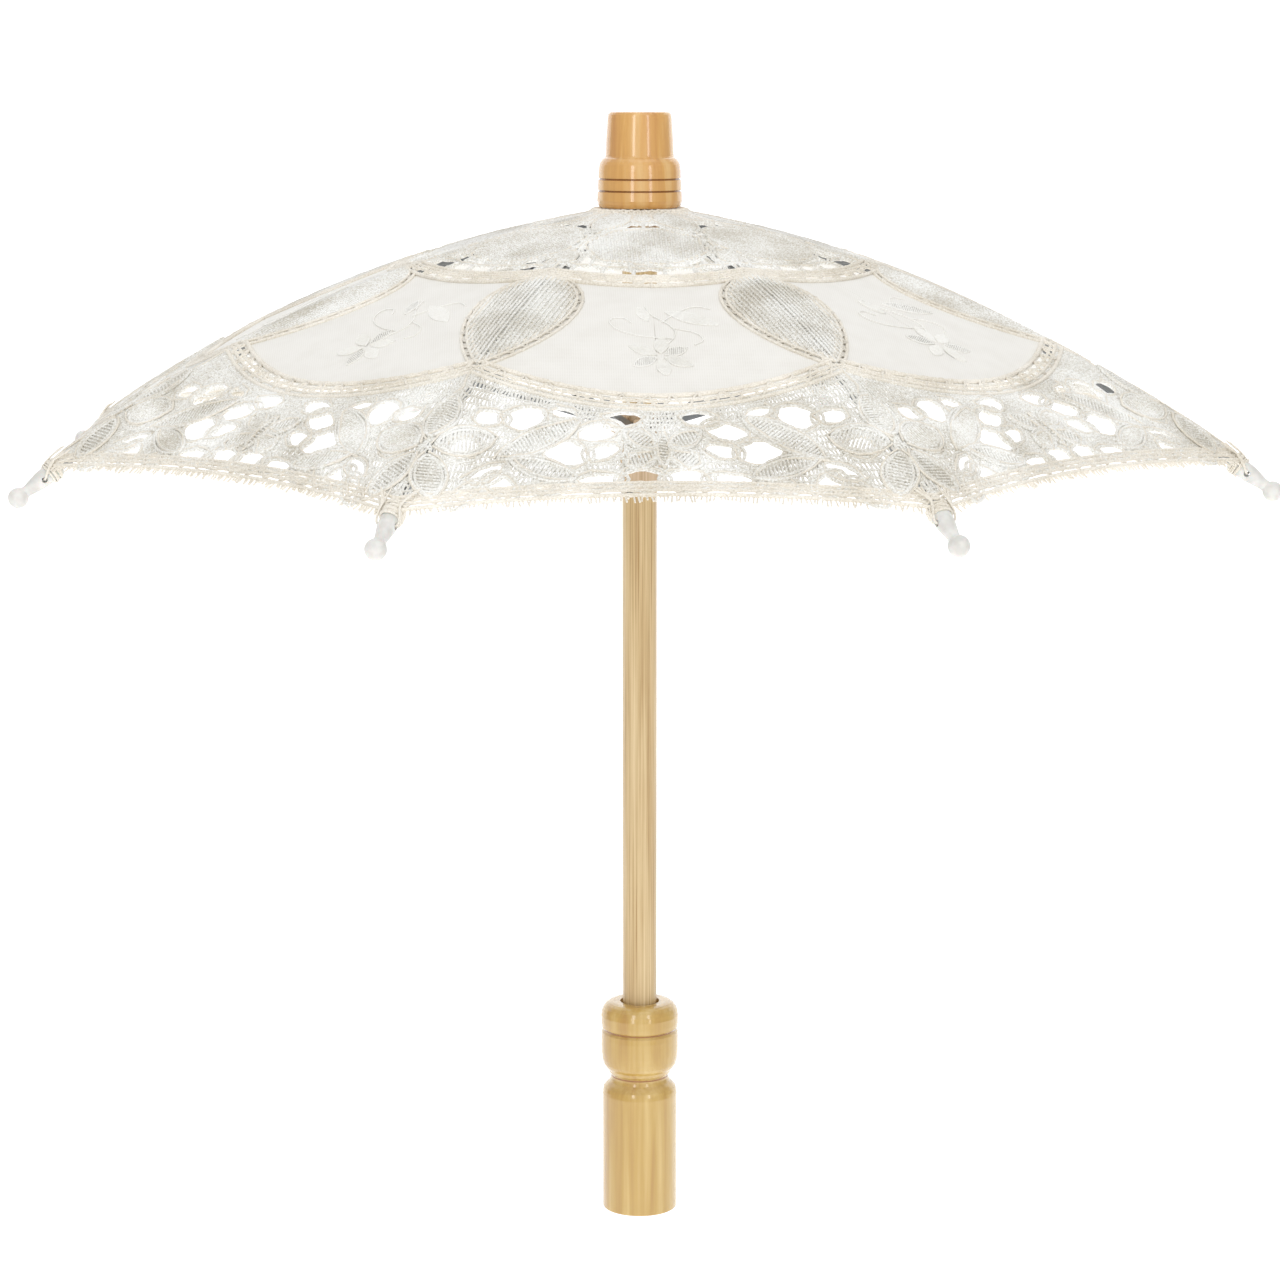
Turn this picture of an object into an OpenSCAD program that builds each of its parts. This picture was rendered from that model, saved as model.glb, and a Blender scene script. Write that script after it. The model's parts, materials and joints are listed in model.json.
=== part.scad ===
// Lace parasol of the small hand-held kind, drawn open. All sizes in millimetres.
// Origin: centre of the handle's bottom. +Z runs up the shaft.

/* [Fold mechanism] */
// Distance from the axis to the rib and stretcher pivots
pivot_r = 7.2; // [6:0.1:9]
// Height of the ring of rib pivots
pivot_z = 300; // [280:0.5:320]
// Distance from the axis to a rib tip's ball
ball_x = 185.4; // [170:0.1:200]
// Height of a rib tip's ball
ball_z = 227.8; // [210:0.1:250]
// Radius of the curve each rib is bent to
arc_r = 430; // [350:5:1200]
// Distance from the axis at which the stretcher meets the rib
joint_x = 104; // [80:0.5:115]
// Drop of that joint below the rib's centre line
joint_drop = 3.0; // [2.4:0.1:4]

/* [Ribs and stretchers] */
// Width and height of a rib's channel
rib_w = 2.0; // [1.6:0.1:2.6]
// Width and height of a stretcher's channel
strut_w = 1.8; // [1.4:0.1:2.2]
// Sheet thickness of both channels
sheet_t = 0.4; // [0.3:0.05:0.5]
// Thickness of the flattened eyes
eye_t = 1.4; // [1:0.1:1.6]
// Radius of the flattened eyes
eye_r = 1.2; // [1:0.05:1.3]
// Radius of the tie wires
wire_r = 0.4; // [0.3:0.05:0.5]
// Radius of the rivets
rivet_r = 0.55; // [0.4:0.05:0.7]
// Radial clearance of every turning pin
run_gap = 0.08; // [0.05:0.01:0.1]

/* [Shaft and turned wood] */
// Shaft radius
shaft_r = 5.1; // [4.5:0.05:6]
// Height at which the shaft starts inside the handle
shaft_z0 = 22; // [15:1:40]
// Height at which the shaft ends inside the finial
shaft_z1 = 317; // [310:1:322]
// Handle's grip radius
grip_r = 11.35; // [10:0.05:13]
// Handle's height
handle_h = 64.5; // [60:0.5:70]
// Height of the finial's underside
finial_z0 = 302.5; // [300:0.5:306]
// Height of the finial's top
finial_z1 = 330; // [325:0.5:336]

/* [Runner and catch] */
// Runner's sleeve radius
runner_r = 6.2; // [6:0.05:7]
// Radial clearance between the runner and the shaft
runner_gap = 0.08; // [0.05:0.01:0.1]
// Height of the runner's bottom
runner_z0 = 221; // [215:0.5:225]
// Height of the runner's top
runner_z1 = 245; // [240:0.5:247]
// Bearing of the catch's slot around the shaft, from the front
catch_bearing = -44; // [-90:1:90]
// Half width of the slot
slot_hw = 1.8; // [1.4:0.1:2.2]

/* [Canopy] */
// Cloth thickness
cloth_t = 0.7; // [0.4:0.1:1.2]
// Gap between the ribs' centre lines and the cloth
cloth_gap = 1.65; // [1.4:0.05:1.9]
// Radius at which the panels start
cloth_r0 = 11.6; // [11:0.1:14]
// Radius of the canopy's sewn corners
corner_r = 176; // [170:0.5:182]
// Rise of the hem's middle towards the hub, along the panel
hem_rise = 4.4; // [3:0.1:10]
// Gap between neighbouring panels
seam_gap = 0.4; // [0.2:0.1:0.8]

/* [Hidden] */
$fn = 48;
chord = sqrt(pow(ball_x - pivot_r, 2) + pow(pivot_z - ball_z, 2));
chord_a = atan2(pivot_z - ball_z, ball_x - pivot_r);
half_a = asin(chord / 2 / arc_r);
slope0 = chord_a - half_a;
slope1 = chord_a + half_a;
arc_x = pivot_r - arc_r * sin(slope0);
arc_z = pivot_z - arc_r * cos(slope0);
deg_mm = 180 / PI / arc_r;
joint_a = acos((joint_x - arc_x) / arc_r);
p1_x = arc_x + (arc_r - joint_drop) * cos(joint_a);
p1_z = arc_z + (arc_r - joint_drop) * sin(joint_a);
p2_x = pivot_r;
p2_z = 2 * p1_z - pivot_z;
strut_a = atan2(p1_z - p2_z, p1_x - p2_x);
strut_l = sqrt(pow(p1_x - p2_x, 2) + pow(p1_z - p2_z, 2));
half_panel = 22.5;
bamboo = [0.85, 0.75, 0.55];
honey = [0.87, 0.69, 0.42];
steel = [0.55, 0.56, 0.57];
white = [0.9, 0.9, 0.88];
ivory = [0.94, 0.92, 0.88];

function bearing(k) = -22.5 + 45 * (k - 1);
function arc_pt(r, up) = [r + up * (r - arc_x) / arc_r, 0] +
    [0, arc_z + sqrt(arc_r * arc_r - pow(r - arc_x, 2)) * (1 + up / arc_r)];

// Turns a piece drawn along +X to the bearing of rib k.
module at_rib(k) {
  rotate([0, 0, bearing(k) - 90]) children();
}

// Sweeps a flat profile along the rib's curve between two polar angles.
module along_arc(a0, a1) {
  translate([arc_x, 0, arc_z])
    rotate([90, 0, 0])
      rotate([0, 0, a0])
        rotate_extrude(angle = a1 - a0, $fn = 360)
          translate([arc_r, 0]) children();
}

// Frame on the rib where the stretcher joins: X out of the curve, Y to the hub.
module at_joint() {
  translate([arc_x, 0, arc_z])
    rotate([90, 0, 0])
      rotate([0, 0, joint_a])
        translate([arc_r, 0, 0]) children();
}

// Ring of wire through the eyes.
module wire_ring(z) {
  translate([0, 0, z]) rotate_extrude() translate([pivot_r, 0]) circle(r = wire_r);
}

// Handle, a turned grip with a bead and a bulb, bored for the shaft.
module handle() {
  color(bamboo) rotate_extrude() polygon([
    [0, 0], [10.95, 0], [11.2, 0.1], [11.3, 0.3], [grip_r, 0.6], [grip_r, 36],
    [11.2, 37], [10.9, 38], [10.1, 39], [9.2, 39.9], [8.85, 40.8], [8.8, 41.9],
    [9.5, 42.7], [10.0, 43.7], [10.7, 44.6], [11.2, 45.6], [11.5, 47], [11.7, 49],
    [11.75, 51], [11.7, 53.6], [11.55, 55.2], [10.9, 55.9], [10.9, 56.2],
    [11.6, 56.8], [11.75, 58.2], [11.75, 60.4], [11.5, 61.8], [11.0, 62.9],
    [10.2, 63.8], [9.2, 64.3], [8.0, handle_h], [5.9, handle_h], [5.2, 62.4],
    [shaft_r, 62.4], [shaft_r, shaft_z0], [0, shaft_z0]]);
}

// Finial, a turned cap with a shoulder, two fine grooves and a tapered top.
module finial() {
  color(honey) rotate_extrude() polygon([
    [shaft_r, finial_z0], [11.4, finial_z0], [11.8, 302.9], [12.2, 303.6],
    [12.5, 304.6], [12.35, 307.1], [11.85, 307.3], [11.85, 307.5], [12.3, 307.7],
    [12.2, 310.5], [11.7, 310.7], [11.7, 310.9], [12.1, 311.1], [12.05, 313.2],
    [11.8, 314.9], [11.4, 315.8], [10.8, 316.6], [10.2, 317.0], [10.0, 317.4],
    [9.8, 322], [9.35, 328.4], [9.2, 329.2], [8.8, 329.8], [8.2, finial_z1],
    [0, finial_z1], [0, shaft_z1], [shaft_r, shaft_z1]]);
}

// Shaft, a round rod with the catch's slot.
module shaft() {
  color(bamboo) difference() {
    translate([0, 0, shaft_z0]) cylinder(r = shaft_r, h = shaft_z1 - shaft_z0);
    rotate([0, 0, catch_bearing - 90]) {
      translate([0.2, -slot_hw, 218.9]) cube([6, 2 * slot_hw, 17.3]);
      translate([2.8, 0, 233.6])
        rotate([90, 0, 0]) cylinder(r = 0.5, h = 5.2, center = true);
    }
  }
}

// Cross pin that stops the runner's upward travel.
module stop_pin() {
  color(steel) translate([0, 0, runner_z1 + 1.1])
    rotate([90, 0, 0]) cylinder(r = 0.7, h = 14, center = true);
}

// Pin the catch is looped round, across the slot.
module catch_pin() {
  color(steel) rotate([0, 0, catch_bearing - 90]) translate([2.8, 0, 233.6])
    rotate([90, 0, 0]) cylinder(r = 0.5, h = 5.2, center = true);
}

// Catch, a leg with a looped top and a sloped nose under the runner.
module spring_catch() {
  color(steel) rotate([0, 0, catch_bearing - 90]) difference() {
    union() {
      translate([2.8, 0, 233.6])
        rotate([90, 0, 0]) cylinder(r = 1.1, h = 1.6, center = true);
      translate([2.4, -0.8, 219.6]) cube([0.8, 1.6, 14]);
      rotate([90, 0, 0]) linear_extrude(height = 1.6, center = true)
        polygon([[2.5, 219.6], [4.8, 219.6], [6.0, 220.1], [6.0, 220.6], [2.5, 220.6]]);
    }
    translate([2.8, 0, 233.6])
      rotate([90, 0, 0]) cylinder(r = 0.57, h = 3, center = true);
  }
}

// Top notch, the fixed collar the ribs hang from.
module top_notch() {
  color(bamboo) difference() {
    translate([0, 0, 296.6]) cylinder(r = 9.2, h = 5.5);
    translate([0, 0, 296]) cylinder(r = shaft_r, h = 8);
    for (k = [1 : 8]) at_rib(k) translate([5.75, -1.3, 296]) cube([6, 2.6, 5.5]);
    wire_ring(pivot_z);
  }
}

// Tie wire through the rib eyes.
module notch_wire() {
  color(steel) wire_ring(pivot_z);
}

// Round patch of cloth clamped under the finial.
module canopy_crown() {
  color(ivory) translate([0, 0, 302.1]) difference() {
    cylinder(r = 11, h = 0.4);
    translate([0, 0, -1]) cylinder(r = shaft_r, h = 3);
  }
}

// Runner, the sleeve that slides on the shaft and carries the stretchers.
module runner() {
  color(bamboo) difference() {
    rotate_extrude() polygon([
      [shaft_r + runner_gap, runner_z0], [6.4, runner_z0], [runner_r, runner_z0 + 2],
      [runner_r, p2_z - 2.8], [7.8, p2_z - 2.4], [8.6, p2_z - 2.0],
      [8.6, p2_z + 1.6], [8.0, p2_z + 2.1], [runner_r, p2_z + 2.3],
      [runner_r, runner_z1 - 0.3], [runner_r - 0.3, runner_z1],
      [shaft_r + runner_gap, runner_z1]]);
    for (k = [1 : 8]) at_rib(k)
      translate([5.75, -1.2, p2_z - 1.5]) cube([6, 2.4, 12]);
    wire_ring(p2_z);
  }
}

// Tie wire through the stretcher eyes.
module runner_wire() {
  color(steel) wire_ring(p2_z);
}

// One rib: a bent channel with a flattened eye.
module rib() {
  color(steel) difference() {
    union() {
      along_arc(90 - slope1 + 11 * deg_mm, 90 - slope0 - 2.4 * deg_mm)
        polygon([[1, -1], [1, 1], [-1, 1], [-1, 0.6], [0.6, 0.6],
          [0.6, -0.6], [-1, -0.6], [-1, -1]] * (rib_w / 2));
      translate([pivot_r, 0, pivot_z]) rotate([0, slope0, 0]) {
        rotate([90, 0, 0]) cylinder(r = eye_r, h = eye_t, center = true);
        translate([0, -eye_t / 2, -0.75]) cube([4, eye_t, 1.5]);
      }
    }
    translate([pivot_r, 0, pivot_z])
      rotate([90, 0, 0]) cylinder(r = wire_r + run_gap, h = 4, center = true);
  }
}

// One rib tip: ball, neck and a drilled end that takes the rib.
module rib_tip() {
  color(white) difference() {
    translate([ball_x, 0, ball_z]) rotate([0, slope1, 0]) rotate([0, 90, 0]) {
      sphere(r = 2.8);
      rotate_extrude() polygon([
        [0, -14.2], [2.1, -14.2], [2.45, -13.7], [2.5, -10], [2.4, -7.6],
        [2.0, -5.4], [1.65, -3.6], [1.6, 0], [0, 0]]);
    }
    along_arc(90 - slope1 + 11 * deg_mm, 90 - slope1 + 16 * deg_mm)
      square(rib_w, center = true);
    translate([ball_x, 0, ball_z]) rotate([0, slope1, 0])
      translate([-8.4, 0, 0]) rotate([90, 0, 0]) cylinder(r = 0.85, h = 8, center = true);
  }
}

// One saddle clip: two ears and a strap over the rib.
module bracket() {
  color(steel) at_joint() difference() {
    union() {
      for (s = [-1, 1]) translate([0, 0, s * 1.225]) {
        translate([-joint_drop / 2 + 0.65, 0, 0])
          cube([joint_drop + 1.3, 2.6, 0.45], center = true);
        translate([-joint_drop, 0, 0]) cylinder(r = 1.3, h = 0.45, center = true);
      }
      translate([1.15, 0, 0]) cube([0.3, 2.6, 2.9], center = true);
    }
    translate([-joint_drop, 0, 0]) cylinder(r = rivet_r, h = 4, center = true);
  }
}

// One rivet, headed on both sides.
module rivet() {
  color(steel) at_joint() translate([-joint_drop, 0, 0]) {
    cylinder(r = rivet_r, h = 3.6, center = true);
    for (s = [-1, 1]) translate([0, 0, s * 1.625]) cylinder(r = 1, h = 0.35, center = true);
  }
}

// One stretcher: a straight channel with an eye at each end.
module stretcher() {
  color(steel) translate([p2_x, 0, p2_z]) rotate([0, -strut_a, 0]) difference() {
    union() {
      difference() {
        translate([2.6, -strut_w / 2, -strut_w / 2])
          cube([strut_l - 5.2, strut_w, strut_w]);
        translate([4.2, -strut_w / 2 + sheet_t, -strut_w / 2 - 1])
          cube([strut_l - 8.4, strut_w - 2 * sheet_t, strut_w + 1 - sheet_t]);
      }
      for (x = [0, strut_l]) translate([x, 0, 0])
        rotate([90, 0, 0]) cylinder(r = eye_r, h = eye_t, center = true);
      translate([0, -eye_t / 2, -0.75]) cube([3.4, eye_t, 1.5]);
      translate([strut_l - 3.4, -eye_t / 2, -0.75]) cube([3.4, eye_t, 1.5]);
    }
    rotate([90, 0, 0]) cylinder(r = wire_r + run_gap, h = 4, center = true);
    translate([strut_l, 0, 0])
      rotate([90, 0, 0]) cylinder(r = rivet_r + run_gap, h = 4, center = true);
  }
}

// Outline of half a panel seen from above, from the rib to the seam.
module half_outline(side) {
  qc = corner_r * cos(half_panel);
  sc = corner_r * sin(half_panel);
  m = [cos(half_panel), side * sin(half_panel)];
  e = [sin(half_panel), -side * cos(half_panel)];
  polygon(concat(
    [[cloth_r0, 0], [172.4, 0]],
    [for (i = [9 : -1 : 0]) (qc - hem_rise * (1 - i * i / 100)) * m
      + max(sc * i / 10, seam_gap / 2) * e],
    [cloth_r0 * cos(half_panel) * m + seam_gap / 2 * e]));
}

// Half a panel: a taut strip bent the way the ribs are.
module half_panel_skin(side) {
  n = 14;
  low = [for (i = [0 : n]) arc_pt(cloth_r0 - 3 + (corner_r + 6 - cloth_r0) * i / n, cloth_gap)];
  high = [for (i = [n : -1 : 0])
    arc_pt(cloth_r0 - 3 + (corner_r + 6 - cloth_r0) * i / n, cloth_gap + cloth_t)];
  intersection() {
    rotate([0, 0, side * half_panel]) rotate([90, 0, 0])
      linear_extrude(height = 160, center = true)
        polygon([for (p = concat(low, high)) [p[0] * cos(half_panel), p[1]]]);
    translate([0, 0, 180]) linear_extrude(height = 140) half_outline(side);
  }
}

// One canopy panel, centred on its rib.
module panel() {
  color(ivory) {
    half_panel_skin(1);
    half_panel_skin(-1);
  }
}

module rib_1() { at_rib(1) rib(); }
module rib_2() { at_rib(2) rib(); }
module rib_3() { at_rib(3) rib(); }
module rib_4() { at_rib(4) rib(); }
module rib_5() { at_rib(5) rib(); }
module rib_6() { at_rib(6) rib(); }
module rib_7() { at_rib(7) rib(); }
module rib_8() { at_rib(8) rib(); }
module rib_tip_1() { at_rib(1) rib_tip(); }
module rib_tip_2() { at_rib(2) rib_tip(); }
module rib_tip_3() { at_rib(3) rib_tip(); }
module rib_tip_4() { at_rib(4) rib_tip(); }
module rib_tip_5() { at_rib(5) rib_tip(); }
module rib_tip_6() { at_rib(6) rib_tip(); }
module rib_tip_7() { at_rib(7) rib_tip(); }
module rib_tip_8() { at_rib(8) rib_tip(); }
module bracket_1() { at_rib(1) bracket(); }
module bracket_2() { at_rib(2) bracket(); }
module bracket_3() { at_rib(3) bracket(); }
module bracket_4() { at_rib(4) bracket(); }
module bracket_5() { at_rib(5) bracket(); }
module bracket_6() { at_rib(6) bracket(); }
module bracket_7() { at_rib(7) bracket(); }
module bracket_8() { at_rib(8) bracket(); }
module rivet_1() { at_rib(1) rivet(); }
module rivet_2() { at_rib(2) rivet(); }
module rivet_3() { at_rib(3) rivet(); }
module rivet_4() { at_rib(4) rivet(); }
module rivet_5() { at_rib(5) rivet(); }
module rivet_6() { at_rib(6) rivet(); }
module rivet_7() { at_rib(7) rivet(); }
module rivet_8() { at_rib(8) rivet(); }
module stretcher_1() { at_rib(1) stretcher(); }
module stretcher_2() { at_rib(2) stretcher(); }
module stretcher_3() { at_rib(3) stretcher(); }
module stretcher_4() { at_rib(4) stretcher(); }
module stretcher_5() { at_rib(5) stretcher(); }
module stretcher_6() { at_rib(6) stretcher(); }
module stretcher_7() { at_rib(7) stretcher(); }
module stretcher_8() { at_rib(8) stretcher(); }
module canopy_1() { at_rib(1) panel(); }
module canopy_2() { at_rib(2) panel(); }
module canopy_3() { at_rib(3) panel(); }
module canopy_4() { at_rib(4) panel(); }
module canopy_5() { at_rib(5) panel(); }
module canopy_6() { at_rib(6) panel(); }
module canopy_7() { at_rib(7) panel(); }
module canopy_8() { at_rib(8) panel(); }

shaft();
handle();
finial();
top_notch();
notch_wire();
stop_pin();
catch_pin();
canopy_crown();
spring_catch();
runner();
runner_wire();
rib_1();
rib_2();
rib_3();
rib_4();
rib_5();
rib_6();
rib_7();
rib_8();
rib_tip_1();
rib_tip_2();
rib_tip_3();
rib_tip_4();
rib_tip_5();
rib_tip_6();
rib_tip_7();
rib_tip_8();
bracket_1();
bracket_2();
bracket_3();
bracket_4();
bracket_5();
bracket_6();
bracket_7();
bracket_8();
rivet_1();
rivet_2();
rivet_3();
rivet_4();
rivet_5();
rivet_6();
rivet_7();
rivet_8();
stretcher_1();
stretcher_2();
stretcher_3();
stretcher_4();
stretcher_5();
stretcher_6();
stretcher_7();
stretcher_8();
canopy_1();
canopy_2();
canopy_3();
canopy_4();
canopy_5();
canopy_6();
canopy_7();
canopy_8();
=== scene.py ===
"""Lace parasol: finishes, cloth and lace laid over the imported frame.

The lace is drawn as lines in plan, along and across the ribs, in millimetres. Each line is
lifted on to the canopy's surface, shared among the eight sectors and turned into cord.
"""

from __future__ import annotations

import json
import logging
import math
from collections import defaultdict
from dataclasses import dataclass, field
from enum import Enum

import bpy
import numpy as np
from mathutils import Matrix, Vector
from mathutils.geometry import delaunay_2d_cdt

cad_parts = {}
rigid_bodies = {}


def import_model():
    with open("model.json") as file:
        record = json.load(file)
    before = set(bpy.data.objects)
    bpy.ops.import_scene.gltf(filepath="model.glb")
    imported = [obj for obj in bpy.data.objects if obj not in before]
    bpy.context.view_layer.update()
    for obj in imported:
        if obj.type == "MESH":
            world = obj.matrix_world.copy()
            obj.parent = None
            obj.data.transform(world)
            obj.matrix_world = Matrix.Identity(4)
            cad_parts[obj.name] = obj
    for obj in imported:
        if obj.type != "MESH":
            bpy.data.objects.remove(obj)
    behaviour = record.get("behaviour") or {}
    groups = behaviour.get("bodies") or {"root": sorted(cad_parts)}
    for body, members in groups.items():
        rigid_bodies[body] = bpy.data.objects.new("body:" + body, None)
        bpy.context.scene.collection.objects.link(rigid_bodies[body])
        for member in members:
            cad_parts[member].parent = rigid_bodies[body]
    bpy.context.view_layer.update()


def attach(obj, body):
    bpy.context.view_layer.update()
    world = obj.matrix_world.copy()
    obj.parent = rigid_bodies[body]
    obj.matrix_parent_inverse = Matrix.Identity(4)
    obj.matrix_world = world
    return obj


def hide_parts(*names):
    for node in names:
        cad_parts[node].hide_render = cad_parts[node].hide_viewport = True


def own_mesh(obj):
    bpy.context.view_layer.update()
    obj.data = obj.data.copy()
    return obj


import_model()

LOG = logging.getLogger("parasol")
MM = 0.001
PANELS = 8
PANEL_DEG = 360 / PANELS
HALF = math.radians(PANEL_DEG / 2)
# Longer than any single stitch, so that a stitch keeps only the points it is drawn with.
WHOLE = 9.0

Point = tuple[float, float]


class Layer(Enum):
    """Lace pieces that each sector of the canopy is made of."""

    HEART = "heart"
    NET = "net"
    BORDER = "border"
    HEM = "hem"
    STITCHES = "stitches"
    EMBROIDERY = "embroidery"


def srgb(code: str) -> tuple[float, float, float, float]:
    """Turn an sRGB hex value to linear.

    Args:
        code: Six hex digits, with or without a hash.

    Returns:
        Linear red, green and blue, and 1 for opaque.
    """
    code = code.lstrip("#")
    rgb = [int(code[i : i + 2], 16) / 255 for i in (0, 2, 4)]
    lin = [c / 12.92 if c <= 0.04045 else ((c + 0.055) / 1.055) ** 2.4 for c in rgb]
    return (lin[0], lin[1], lin[2], 1.0)


def set_stops(band: bpy.types.ColorRamp, stops: list[tuple[float, str]]) -> None:
    """Give a colour band its stops.

    Args:
        band: The band of a new node, which has two stops.
        stops: Places from 0 to 1 with sRGB hex colours, in order.
    """
    while len(band.elements) < len(stops):
        band.elements.new(0.5)
    for key, (place, code) in zip(band.elements, stops):
        key.position = place
        key.color = srgb(code)


def add(tree: bpy.types.NodeTree, kind: str, props: dict | None = None,
        **inputs: object) -> bpy.types.Node:
    """Add a node, set its properties, and fill or link its inputs.

    Args:
        tree: The node tree to add to.
        kind: The node's type name.
        props: Attributes of the node itself, or the stops of its colour band.
        **inputs: Input names, with _ for a space, or i0, i1 for a position; a socket is linked.

    Returns:
        The new node.
    """
    node = tree.nodes.new(kind)
    for name, value in (props or {}).items():
        if name == "stops":
            set_stops(node.color_ramp, value)
        else:
            setattr(node, name, value)
    for name, value in inputs.items():
        index = int(name[1:]) if name[0] == "i" and name[1:].isdigit() else name.replace("_", " ")
        socket = node.inputs[index]
        if isinstance(value, bpy.types.NodeSocket):
            tree.links.new(value, socket)
        else:
            socket.default_value = value
    return node


def fresh(name: str) -> tuple[bpy.types.Material, bpy.types.NodeTree, bpy.types.NodeSocket]:
    """Make an empty node material.

    Args:
        name: The material's name.

    Returns:
        The material, its node tree and the socket of its Object coordinates.
    """
    mat = bpy.data.materials.new(name)
    mat.use_nodes = True
    tree = mat.node_tree
    tree.nodes.clear()
    return mat, tree, add(tree, "ShaderNodeTexCoord").outputs["Object"]


def rate(size_mm: float) -> float:
    """Texture scale that gives a pattern its real size in millimetres."""
    return 1 / (size_mm * MM)


@dataclass(frozen=True)
class Wood:
    """Turned or planed wood under clear varnish: lengthwise grain, soft gloss, and dark lines of
    painted shade in the turned grooves.

    Attributes:
        name: The material's name.
        light: Colour of the palest grain.
        mid: Colour of the wood as a whole.
        dark: Colour of the darkest grain.
        grain_mm: Width of a grain line.
        streak_mm: Its length.
        rough: Roughness of the wood.
        coat: Weight of the varnish.
        contrast: How quickly the shades change, 1 for slowly.
        grain_share: Share of the shade that the fine grain gives; cloudiness gives the rest.
        burnt_mm: Heights of the turned grooves that get a dark line of painted shade.
        burnt: Colour of that painted shade.
        groove_mm: Half of a groove's width.
        cloud_mm: Width of the cloudy figure.
        figure_mm: Its length.
        spread: Distance between two stops of the shade at contrast 1.
    """

    name: str
    light: str
    mid: str
    dark: str
    grain_mm: float = 0.5
    streak_mm: float = 30.0
    rough: float = 0.32
    coat: float = 0.6
    contrast: float = 1.0
    grain_share: float = 0.65
    burnt_mm: tuple[float, ...] = ()
    burnt: str = "#9C662C"
    groove_mm: float = 0.22
    cloud_mm: float = 3.846
    figure_mm: float = 71.43
    spread: float = 0.16

    def make(self) -> bpy.types.Material:
        """Build the material: long streaks, slight cloudiness and painted shade in the grooves.

        Returns:
            The material.
        """
        mat, tree, place = fresh(self.name)
        fine = add(tree, "ShaderNodeMapping", Vector=place,
                   Scale=(rate(self.grain_mm), rate(self.grain_mm), rate(self.streak_mm)))
        grain = add(tree, "ShaderNodeTexNoise", Vector=fine.outputs[0], Scale=1.0,
                    Detail=5.0, Roughness=0.6)
        wide = add(tree, "ShaderNodeMapping", Vector=place,
                   Scale=(rate(self.cloud_mm), rate(self.cloud_mm), rate(self.figure_mm)))
        cloud = add(tree, "ShaderNodeTexNoise", Vector=wide.outputs[0], Scale=1.0,
                    Detail=3.0, Distortion=0.6)
        share = add(tree, "ShaderNodeMath", {"operation": "MULTIPLY"},
                    i0=grain.outputs["Fac"], i1=self.grain_share)
        total = add(tree, "ShaderNodeMath", {"operation": "MULTIPLY_ADD"},
                    i0=cloud.outputs["Fac"], i1=1 - self.grain_share, i2=share.outputs[0])
        step = self.spread / self.contrast
        stops = [(0.5 - step, self.dark), (0.5, self.mid), (0.5 + step, self.light)]
        colour = add(tree, "ShaderNodeValToRGB", {"stops": stops},
                     Fac=total.outputs[0]).outputs["Color"]
        height = add(tree, "ShaderNodeSeparateXYZ", Vector=place).outputs["Z"]
        # Painted shade: a dark line at each groove's height stands in for the shadow inside the
        # groove.
        for level in self.burnt_mm:
            near = add(tree, "ShaderNodeMath", {"operation": "COMPARE"}, i0=height,
                       i1=level * MM, i2=self.groove_mm * MM)
            colour = add(tree, "ShaderNodeMix", {"data_type": "RGBA"}, i0=near.outputs[0],
                         i6=colour, i7=srgb(self.burnt)).outputs[2]
        bump = add(tree, "ShaderNodeBump", Strength=0.06, Distance=0.2 * MM,
                   Height=grain.outputs["Fac"])
        shader = add(tree, "ShaderNodeBsdfPrincipled", Base_Color=colour, Roughness=self.rough,
                     IOR=1.5, Coat_Weight=self.coat, Coat_Roughness=0.08,
                     Normal=bump.outputs[0])
        add(tree, "ShaderNodeOutputMaterial", Surface=shader.outputs[0])
        return mat


@dataclass(frozen=True)
class Steel:
    """Cold-rolled steel strip or drawn wire: bright, with small dull spots.

    Attributes:
        name: The material's name.
        tone: Colour of the bright metal.
        rough: Its middle roughness.
        dull: Colour of the spots.
        spot_mm: Size of the spots.
    """

    name: str
    tone: str = "#9A9C9D"
    rough: float = 0.34
    dull: str = "#7F8183"
    spot_mm: float = 1.111

    def make(self) -> bpy.types.Material:
        """Build the material: spots that are duller and rougher than the rest.

        Returns:
            The material.
        """
        mat, tree, place = fresh(self.name)
        spots = add(tree, "ShaderNodeTexNoise", Vector=place, Scale=rate(self.spot_mm),
                    Detail=4.0)
        rough = add(tree, "ShaderNodeMapRange", Value=spots.outputs["Fac"],
                    To_Min=self.rough - 0.1, To_Max=self.rough + 0.12)
        colour = add(tree, "ShaderNodeMix", {"data_type": "RGBA"}, i0=spots.outputs["Fac"],
                     i6=srgb(self.tone), i7=srgb(self.dull))
        bump = add(tree, "ShaderNodeBump", Strength=0.08, Distance=0.1 * MM,
                   Height=spots.outputs["Fac"])
        shader = add(tree, "ShaderNodeBsdfPrincipled", Base_Color=colour.outputs[2],
                     Metallic=1.0, Roughness=rough.outputs[0], Normal=bump.outputs[0])
        add(tree, "ShaderNodeOutputMaterial", Surface=shader.outputs[0])
        return mat


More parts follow.
